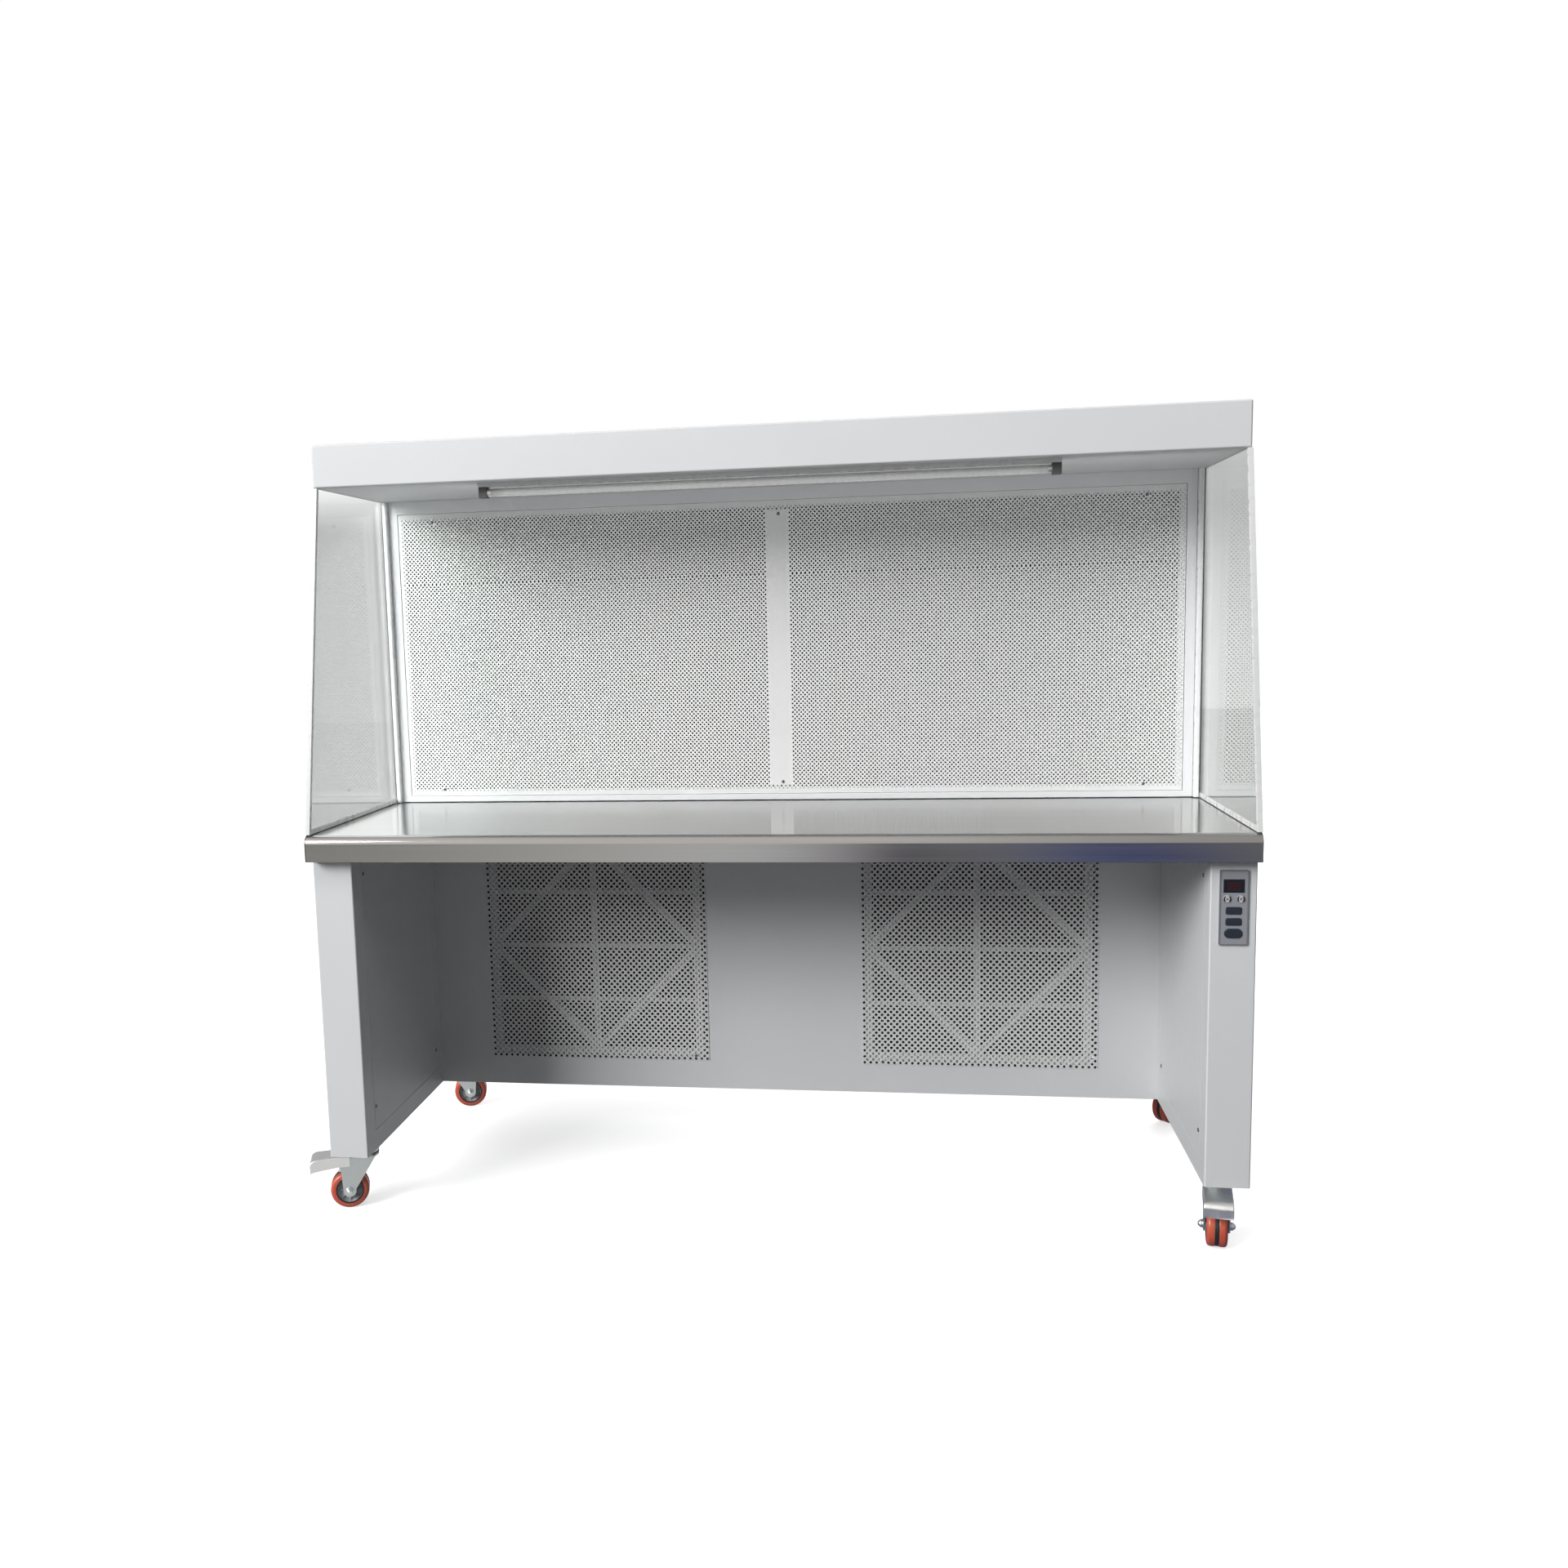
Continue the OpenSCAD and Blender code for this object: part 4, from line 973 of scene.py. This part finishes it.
def build_display():
    """A black bezel with a red filter set into it, and three unlit digits behind."""
    low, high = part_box("display_window")
    place = facing_front((low + high) / 2, low.y)
    softened("display_window", 0.4)
    bezel_w, bezel_h, rise = 35 * MM, 23 * MM, 0.5 * MM
    window_w, window_h, lens_t = 22 * MM, 15 * MM, 0.25 * MM
    outer = rounded_outline(bezel_w, bezel_h, 1.2 * MM)
    inner = rounded_outline(window_w, window_h, 0.8 * MM)
    bezel = hollow_frame(outer, inner, -0.1 * MM, rise)
    solid_piece("display_bezel", join((*bezel, place)), "display", round_mm=0.15)
    lens = prism(rounded_outline(window_w - 0.2 * MM, window_h - 0.2 * MM, 0.7 * MM), lens_t)
    solid_piece("display_red_lens", join((*lens, place)), "display", look=RED_FILTER)
    digits = []
    bar, half_w, half_h, skew = 0.7 * MM, 2.0 * MM, 3.8 * MM, 0.12
    pitch, print_t = 6.4 * MM, 0.06 * MM
    on_lens = place @ Matrix.Translation((0, 0, lens_t))
    for column in (-1, 0, 1):
        for cx, cy, upright in ((0, half_h, False), (0, 0, False), (0, -half_h, False),
                                (-half_w, half_h / 2, True), (half_w, half_h / 2, True),
                                (-half_w, -half_h / 2, True), (half_w, -half_h / 2, True)):
            length = (half_h if upright else 2 * half_w) / 2 - bar / 2
            w, h = (bar / 2, length) if upright else (length, bar / 2)
            outline = [(cx - w, cy - h), (cx + w, cy - h), (cx + w, cy + h), (cx - w, cy + h)]
            leaning = [(x + skew * y + column * pitch, y) for x, y in outline]
            digits.append((*prism(leaning, print_t), on_lens))
    solid_piece("display_digit_segments", join(*digits), "display", look=DIGIT)


def build_buttons():
    """Five rubber caps; the round ones carry two curved strokes and an arrow."""
    print_t, skin = 0.3 * MM, 0.15 * MM

    def cap(node, outline, look, shrink=0.12):
        low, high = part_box(node)
        middle = (low + high) / 2
        body = BODY[node]
        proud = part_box("control_plate")[0].y - low.y
        place = facing_front(middle, low.y + proud)
        foot = high.y - low.y - proud
        flange = 1.5 * MM
        stem = domed_cap(outline, shrink, proud, 0.7 * MM, foot - 2 * flange)
        solid_piece(node + "_cap", join((*stem, place)), "button_plastic", body, look,
                    stands_for=(node,))
        return place, body, proud

    for side in ("left", "right"):
        circle = arc((0, 0), 7 * MM, 0, 360, 40)[:-1]
        place, body, proud = cap(f"{side}_round_button", circle, PALE_CAP)
        top = place @ Matrix.Translation((0, 0, proud - skin))
        marks = [(*arc_band(6.5 * MM, 2.3 * MM, start, start + 104, print_t), top)
                 for start in (128, -52)]
        way = 1 if side == "left" else -1
        arrow = [(-1.9 * MM, -1.2 * MM * way), (1.9 * MM, -1.2 * MM * way), (0, 1.9 * MM * way)]
        marks.append((*prism(arrow, print_t), top))
        solid_piece(f"{side}_round_button_marks", join(*marks), "button_plastic", body,
                    ARROW_BLACK)
    bar = rounded_outline(27 * MM, 13 * MM, 3 * MM)
    for node in ("upper_bar_button", "middle_bar_button"):
        cap(node, bar, None, 0.10)
    cap("oval_button", rounded_outline(31 * MM, 17 * MM, 8.4 * MM, 10), None)


# ---------- castors ----------

def castor_frame(name):
    """The castor's own frame: swivel axis at the origin on the floor, wheel towards +X."""
    swivel = Vector(JOINTS[name + "_swivel_turn"]["pos_m"])
    axle = Vector(JOINTS[name + "_wheel_roll"]["pos_m"])
    way = Vector((axle.x - swivel.x, axle.y - swivel.y, 0))
    trail = way.length
    way.normalize()
    matrix = Matrix(((way.x, -way.y, 0, swivel.x), (way.y, way.x, 0, swivel.y),
                     (0, 0, 1, 0), (0, 0, 0, 1)))
    return matrix, trail, axle.z


def build_tread(name, frame_of, trail, radius):
    """The orange tread with round shoulders, and the black band in its groove."""
    half, core = 18.5 * MM, 31 * MM
    shoulder, groove, deep = 7.0 * MM, 4.0 * MM, 1.8 * MM
    crown = 0.5 * MM
    inner = radius - shoulder
    side = arc((inner, half - shoulder), shoulder, 90, 4, 10)
    band = [(radius, half - shoulder - 1 * MM), (radius, groove + 3.5 * MM),
            (radius - crown * 0.2, groove + 1.0 * MM), (radius - crown, groove)]
    upper = side + band + [(radius - deep, groove * 0.92)]
    lower = [(r, -h) for r, h in reversed(upper)]
    profile = [(core, half)] + upper + lower + [(core, -half)]
    axle = frame_of @ Matrix.Translation((trail, 0, radius)) @ Matrix.Rotation(
        math.pi / 2, 4, "X")
    body = name + "_roller"
    solid_piece(name + "_tread_moulded", join((*lathe(profile, 96), axle)), "orange_tread", body,
                stands_for=(name + "_tread",))
    ring = [(radius - deep - 0.6 * MM, groove), (radius - deep + 0.5 * MM, groove),
            (radius - deep + 0.9 * MM, groove * 0.5), (radius - deep + 0.9 * MM, -groove * 0.5),
            (radius - deep + 0.5 * MM, -groove), (radius - deep - 0.6 * MM, -groove)]
    solid_piece(name + "_tread_groove_band", join((*lathe(ring, 96), axle)), "black_plastic",
                body)
    build_core(name, axle, half, core)


def build_core(name, axle, half, core):
    """The wheel's core: a black bead ring outside, a dished web with ribs, and a hub."""
    body = name + "_roller"
    web, hub, bore, hub_half = 12 * MM, 12 * MM, 4.1 * MM, 19.3 * MM
    rim = [(core, half), (core - 4.5 * MM, half), (core - 5.5 * MM, half - 1.5 * MM),
           (core - 6.5 * MM, web + 2 * MM), (core - 9 * MM, web), (hub + 3 * MM, web),
           (hub + 0.5 * MM, web + 2.5 * MM), (hub, hub_half - 1.5 * MM),
           (hub - 1.5 * MM, hub_half), (bore, hub_half)]
    profile = rim + [(r, -h) for r, h in reversed(rim)]
    parts = [(*lathe(profile, 72), axle)]
    rib_half, rib_count = 0.9 * MM, 8
    rib = block((hub - 1 * MM, -rib_half, 0), (core - 6 * MM, rib_half, half - 4 * MM))
    for flip in FLIPS:
        for i in range(rib_count):
            turn = Matrix.Rotation(2 * math.pi * i / rib_count, 4, "Z")
            parts.append((*rib, axle @ flip @ turn))
    solid_piece(name + "_wheel_core", join(*parts), "black_plastic", body, WHEEL_GREY,
                stands_for=(name + "_wheel",))
    lip = [(core + 0.6 * MM, half - 1.0 * MM), (core + 0.6 * MM, half + 0.15 * MM),
           (core - 1.0 * MM, half + 0.4 * MM), (core - 2.6 * MM, half + 0.15 * MM),
           (core - 2.6 * MM, half - 1.0 * MM)]
    bead = [(core - 2.5 * MM, half - 1.0 * MM), (core - 2.5 * MM, half + 0.3 * MM),
            (core - 4.0 * MM, half + 0.6 * MM), (core - 5.8 * MM, half + 0.2 * MM),
            (core - 5.8 * MM, half - 1.0 * MM)]
    shield = [(9.5 * MM, hub_half - 0.5 * MM), (9.5 * MM, hub_half + 0.15 * MM),
              (5.5 * MM, hub_half + 0.25 * MM), (5.5 * MM, hub_half - 0.5 * MM)]
    for ending, outline, segments, slot in (("_tread_lips", lip, 72, "orange_tread"),
                                            ("_wheel_bead_rings", bead, 72, "black_plastic"),
                                            ("_bearing_shields", shield, 48, "zinc")):
        both = join(*((*lathe(outline, segments), axle @ flip) for flip in FLIPS))
        solid_piece(name + ending, both, slot, body)


def hexagon(across):
    return [(across / math.sqrt(3) * math.cos(math.radians(60 * i)),
             across / math.sqrt(3) * math.sin(math.radians(60 * i))) for i in range(6)]


def domed_nut(across, height, dome):
    """A hexagon with a domed end, standing up along Z."""
    radius, steps, root = across / 2 * 0.94, 6, height - 0.5 * MM
    turns = [math.radians(90 * i / steps) for i in range(steps)]
    curve = [(radius * math.cos(t), height + dome * math.sin(t)) for t in turns]
    cap = [(0, root), (radius, root)] + curve + [(0, height + dome)]
    return join(prism(hexagon(across), height), lathe(cap, 32))


def build_fork(name, frame_of, trail, radius):
    """The fork with a washer and a domed nut on each cheek, and the swivel bearing's seal."""
    cheek, crown = 23.5 * MM, 110 * MM
    back = frame_of.inverted()

    def bends(edge):
        """The two long bends between the crown and the cheeks."""
        a, b = (back @ v.co for v in edge.verts)
        return all(abs(v.z - crown) < NEAR / 2 and abs(abs(v.y) - cheek) < NEAR / 2
                   for v in (a, b))

    # The fork wears the darker copy of the zinc plating: painted shade.
    softened(name + "_fork", 0.5, ((2.6, 34, bends),), clamp=False, look=FORK_ZINC_PAINTED_SHADE)
    body = name + "_swivel"
    parts = []
    for side in (1, -1):
        place = frame_of @ Matrix.Translation((trail, side * cheek, radius)) @ Matrix.Rotation(
            -side * math.pi / 2, 4, "X")
        washer = [(0, 0), (8.6 * MM, 0), (8.6 * MM, 0.9 * MM), (8.2 * MM, 1.2 * MM),
                  (0, 1.2 * MM)]
        parts.append((*lathe(washer, 40), place))
        parts.append((*domed_nut(13 * MM, 5.2 * MM, 4.6 * MM), place))
    solid_piece(name + "_axle_nuts", join(*parts), "zinc", body, round_mm=0.3)
    dust = [(25.6 * MM, 111.2 * MM), (26.3 * MM, 112.0 * MM), (26.3 * MM, 113.4 * MM),
            (25.6 * MM, 114.2 * MM), (24.8 * MM, 114.2 * MM), (24.8 * MM, 111.2 * MM)]
    solid_piece(name + "_bearing_seal", join((*lathe(dust, 64), frame_of)), "black_plastic",
                body)


def build_pedal(name, frame_of):
    """The pressed brake pedal, with wider bends along its top and across its tip."""
    half, lowest, tip_from = 26 * MM, 100 * MM, 90 * MM
    back = frame_of.inverted()

    def tip(edge):
        """The edges across the pedal where its top turns down at the tip."""
        a, b = (back @ v.co for v in edge.verts)
        return min(a.z, b.z) > lowest and min(a.x, b.x) > tip_from and abs(a.y - b.y) > half

    def sides(edge):
        """The pedal's upper edges along its length."""
        a, b = (back @ v.co for v in edge.verts)
        on_side = all(abs(abs(v.y) - half) < NEAR / 2 for v in (a, b))
        return on_side and min(a.z, b.z) > lowest and abs(a.y - b.y) < 1 * MM

    # The pedal wears the near-white copy of the zinc plating: painted light.
    softened(name + "_pedal", 0.45, ((2.8, 10, tip), (2.0, 34, sides)), clamp=False,
             look=PEDAL_ZINC_PAINTED_LIGHT)


def build_castors():
    """The four castors, and four hexagon bolts with washers under each mounting plate."""
    softened("castor_plates", 0.45)
    plate_t, bolt_x, bolt_y = 3 * MM, 29 * MM, 37 * MM
    washer_r, washer_t = 6.6 * MM, 1.0 * MM
    washer = lathe([(0, 0), (washer_r, 0), (washer_r, washer_t), (0, washer_t)], 32)
    head = prism(hexagon(10 * MM), 5.2 * MM)
    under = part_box("castor_plates")[1].z - plate_t
    bolts = []
    for name in CASTORS:
        matrix, trail, radius = castor_frame(name)
        build_tread(name, matrix, trail, radius)
        build_fork(name, matrix, trail, radius)
        build_pedal(name, matrix)
        centre = matrix.translation
        for sx, sy in ((-1, -1), (-1, 1), (1, -1), (1, 1)):
            foot = Vector((centre.x + sx * bolt_x, centre.y + sy * bolt_y, under))
            spin = Matrix.Rotation(0.4 * (sx + 2 * sy), 4, "Z")
            place = Matrix.Translation(foot) @ FLIPS[1] @ spin
            bolts += [(*washer, place), (*head, place)]
    solid_piece("castor_plate_bolts", join(*bolts), "zinc", round_mm=0.35)


# ---------- what keeps its CAD shape ----------

def dress_inner_parts():
    """Nodes whose CAD shape is already right get their materials."""
    for node, obj in NODES.items():
        if obj.hide_render:
            continue
        obj.data.materials.clear()
        obj.data.materials.append(LOOKS[SLOTS[node]])
        smoothed(obj.data)


def build_glass_gaskets():
    """Black strips along each pane's slanted edge, and pale silicone beads along its foot."""
    strip, out, under, gap, channel = 0.9 * MM, 0.7 * MM, -0.2 * MM, 1.6 * MM, 9 * MM
    for side, (low, high) in zip(("left", "right"), islands("glass_trims")):
        foot = Vector((0, low.y, low.z))
        head = Vector((0, HOOD_LOW.y, high.z))
        slope = (head - foot).normalized()
        square = Vector((0, slope.z, -slope.y))
        inset = channel * slope.z
        parts, beads = [], []
        for face in (low.x + gap, high.x - gap - strip):
            start = foot + square * inset + slope * channel
            stop = head + square * inset - slope * 2 * MM
            verts = [Vector((x, 0, 0)) + end + square * d for end in (start, stop)
                     for x in (face, face + strip) for d in (under, out)]
            faces = [[0, 1, 3, 2], [4, 6, 7, 5], [0, 4, 5, 1], [2, 3, 7, 6], [0, 2, 6, 4],
                     [1, 5, 7, 3]]
            parts.append((verts, faces))
            z = low.z + channel
            beads.append(block((face, low.y + channel * 1.6, z + under),
                               (face + strip, high.y, z + out)))
        solid_piece(f"{side}_glass_gasket", join(*parts), "gasket")
        solid_piece(f"{side}_glass_bead", join(*beads), "gasket", look=SILICONE)


# ---------- stage ----------

def floor_in_reflections(look):
    """What polished parts mirror of the room's floor: pale on the left of the bench, grey and
    then blue on its right."""
    axes = look.node("SeparateXYZ")
    look.link(look.place, axes.inputs[0])
    ramp = look.node("ValToRGB")
    first, last = -3.0, 2.0
    stops = ((-2.85, (0.25, 0.245, 0.24)), (-2.25, (0.40, 0.39, 0.36)),
             (-1.66, (0.55, 0.535, 0.50)), (-0.55, (0.70, 0.70, 0.70)),
             (-0.29, (0.58, 0.58, 0.59)), (-0.04, (0.40, 0.39, 0.41)),
             (0.26, (0.09, 0.085, 0.11)), (0.56, (0.16, 0.16, 0.165)),
             (0.90, (0.165, 0.175, 0.24)), (1.24, (0.045, 0.07, 0.24)),
             (1.54, (0.02, 0.035, 0.19)), (1.88, (0.20, 0.20, 0.19)))
    spots = ramp.color_ramp.elements
    while len(spots) < len(stops):
        spots.new(0.5)
    for spot, (x, colour) in zip(spots, stops):
        spot.position = (x - first) / (last - first)
        spot.color = (*colour, 1.0)
    look.link(look.span(axes.outputs["X"], first, last, 0.0, 1.0), ramp.inputs[0])
    shine = look.node("Emission")
    look.link(ramp.outputs["Color"], shine.inputs["Color"])
    return shine


def build_floor():
    """A pale floor with soft shadows, fading into the white studio around the bench."""
    size, fade_from, fade_to, lift = 14.0, 1.5, 4.2, 0.62
    look = Look("studio_floor", (0.86, 0.86, 0.86), 0.7)
    look.shade(look.noise(0.8, 3), 0.985, 0.8).shade(look.noise(60, 3), 0.99, 0.6)
    look.bump(look.noise(90, 3), 0.05)
    mesh = from_lists("studio_floor", [(-size, -size, 0), (size, -size, 0), (size, size, 0),
                                       (-size, size, 0)], [[0, 1, 2, 3]])
    distance = look.node("VectorMath", operation="LENGTH")
    look.link(look.place, distance.inputs[0])
    fade = look.span(distance.outputs["Value"], fade_from, fade_to, 0.0, 1.0)
    path = look.node("LightPath")
    glow = look.node("Emission")
    look.link(look.span(fade, 0.0, 1.0, lift, 1.0), glow.inputs["Strength"])
    shadowed = look.node("AddShader")
    look.link(look.shader.outputs[0], shadowed.inputs[0])
    look.link(glow.outputs[0], shadowed.inputs[1])
    dull = look.node("BsdfDiffuse")
    dull.inputs["Color"].default_value = (0.17, 0.17, 0.175, 1.0)
    dim = look.node("Emission")
    dim.inputs["Strength"].default_value = 0.5
    mirrored, through, seen = (look.node("MixShader") for _ in range(3))
    for mixer, share, before, after in (
            (mirrored, path.outputs["Is Glossy Ray"], dull, floor_in_reflections(look)),
            (through, path.outputs["Is Transmission Ray"], mirrored, dim),
            (seen, path.outputs["Is Camera Ray"], through, shadowed)):
        look.link(share, mixer.inputs[0])
        look.link(before.outputs[0], mixer.inputs[1])
        look.link(after.outputs[0], mixer.inputs[2])
    look.link(seen.outputs[0], look.tree.nodes["Material Output"].inputs["Surface"])
    mesh.materials.append(look.material)
    floor = bpy.data.objects.new("studio_floor", mesh)
    floor.location.z = -0.5 * MM
    bpy.context.scene.collection.objects.link(floor)


def area_light(name, place, aim, size, power):
    data = bpy.data.lights.new(name, "AREA")
    data.shape, data.size, data.size_y = "RECTANGLE", size[0], size[1]
    data.energy = power
    light = bpy.data.objects.new(name, data)
    light.location = place
    way = Vector(aim) - Vector(place)
    light.rotation_mode = "QUATERNION"
    light.rotation_quaternion = way.to_track_quat("-Z", "Y")
    light.visible_camera = False
    bpy.context.scene.collection.objects.link(light)
    return light


def build_world():
    """White to the camera; dimmer studio walls, brighter on the left, light the object."""
    world = bpy.data.worlds.new("studio")
    bpy.context.scene.world = world
    world.use_nodes = True
    tree = world.node_tree
    tree.nodes.clear()
    add = tree.nodes.new

    def strength(value, colour=(1, 1, 1, 1)):
        shader = add("ShaderNodeBackground")
        shader.inputs["Color"].default_value = colour
        shader.inputs["Strength"].default_value = value
        return shader.outputs[0]

    def blended(share, a, b):
        mixer = add("ShaderNodeMixShader")
        tree.links.new(share, mixer.inputs[0])
        tree.links.new(a, mixer.inputs[1])
        tree.links.new(b, mixer.inputs[2])
        return mixer.outputs[0]

    def ranged(value, low, high):
        node = add("ShaderNodeMapRange")
        node.interpolation_type = "SMOOTHSTEP"
        node.inputs["From Min"].default_value = low
        node.inputs["From Max"].default_value = high
        tree.links.new(value, node.inputs["Value"])
        return node.outputs["Result"]

    way = add("ShaderNodeTexCoord").outputs["Generated"]
    axes = add("ShaderNodeSeparateXYZ")
    tree.links.new(way, axes.inputs[0])
    x, y, z = axes.outputs
    front = blended(ranged(x, -0.5, 0.35), strength(0.35), strength(0.05, (0.72, 0.82, 1.0, 1)))
    mirrored = blended(ranged(x, -0.1, 0.25), strength(0.8, (1.0, 0.96, 0.90, 1)),
                       strength(0.48, (1.0, 0.97, 0.93, 1)))
    path = add("ShaderNodeLightPath")
    front = blended(path.outputs["Is Glossy Ray"], front, mirrored)
    around = blended(ranged(y, -0.35, 0.25), front, strength(0.4))
    left = blended(ranged(z, 0.06, 0.12), strength(0.54), strength(1.5))
    behind = blended(ranged(x, -0.4, 0.4), left, strength(0.74))
    through = blended(path.outputs["Is Transmission Ray"], around, behind)
    seen = blended(path.outputs["Is Camera Ray"], through, strength(1.0))
    output = add("ShaderNodeOutputWorld")
    tree.links.new(seen, output.inputs["Surface"])


def build_lights():
    """A broad key from the left, soft light from above and behind, and a weak fill that lifts
    the shade under the fascia."""
    area_light("key_left", (-8.2, -8.4, 6.0), (0.0, 0.0, 0.85), (6.0, 4.8), 1420)
    overhead = area_light("overhead_front", (-0.3, -2.6, 4.4), (0.0, -0.1, 0.9), (2.4, 1.6), 52)
    back = area_light("back_soft", (1.8, 3.8, 2.6), (0.0, 0.0, 0.8), (3.0, 2.0), 90)
    high = Vector((MIDDLE_X + 0.08, HOOD_LOW.y + 0.03, 1.37))
    fill = area_light("fill_in_hood", high, high + Vector((0, 1, 0)), (1.5, 0.06), 0.45)
    for light in (overhead, back, fill):
        light.visible_glossy = False
        light.visible_transmission = False


def build_camera():
    """The camera that saw the bench: standing eye height, turned a little left and down."""
    aside, away, eye_height = 0.2574, 2.6225, 1.1853
    yaw, pitch, roll = 0.1557, -0.1244, -0.0273
    ahead = Vector((-math.sin(yaw) * math.cos(pitch), math.cos(yaw) * math.cos(pitch),
                    math.sin(pitch)))
    right = Vector((math.cos(yaw), math.sin(yaw), 0))
    up = right.cross(ahead)
    x_axis = math.cos(roll) * right + math.sin(roll) * up
    y_axis = -math.sin(roll) * right + math.cos(roll) * up
    data = bpy.data.cameras.new("camera")
    data.sensor_width, data.lens = 36.0, 31.6
    data.shift_x, data.shift_y = 0.0628, 0.0057
    camera = bpy.data.objects.new("camera", data)
    place = (MIDDLE_X + aside, HOOD_LOW.y - away, eye_height)
    rows = zip(x_axis, y_axis, -ahead, place)
    camera.matrix_world = Matrix([tuple(row) for row in rows] + [(0, 0, 0, 1)])
    bpy.context.scene.collection.objects.link(camera)
    bpy.context.scene.camera = camera


build_camera()
build_world()
build_lights()
build_floor()
build_body()
build_worktop()
build_diffuser()
build_grilles()
build_screws()
build_lamp()
build_control()
build_glass_gaskets()
build_castors()
dress_inner_parts()
bpy.context.scene.view_settings.view_transform = "Standard"
bpy.context.scene.view_settings.look = "None"
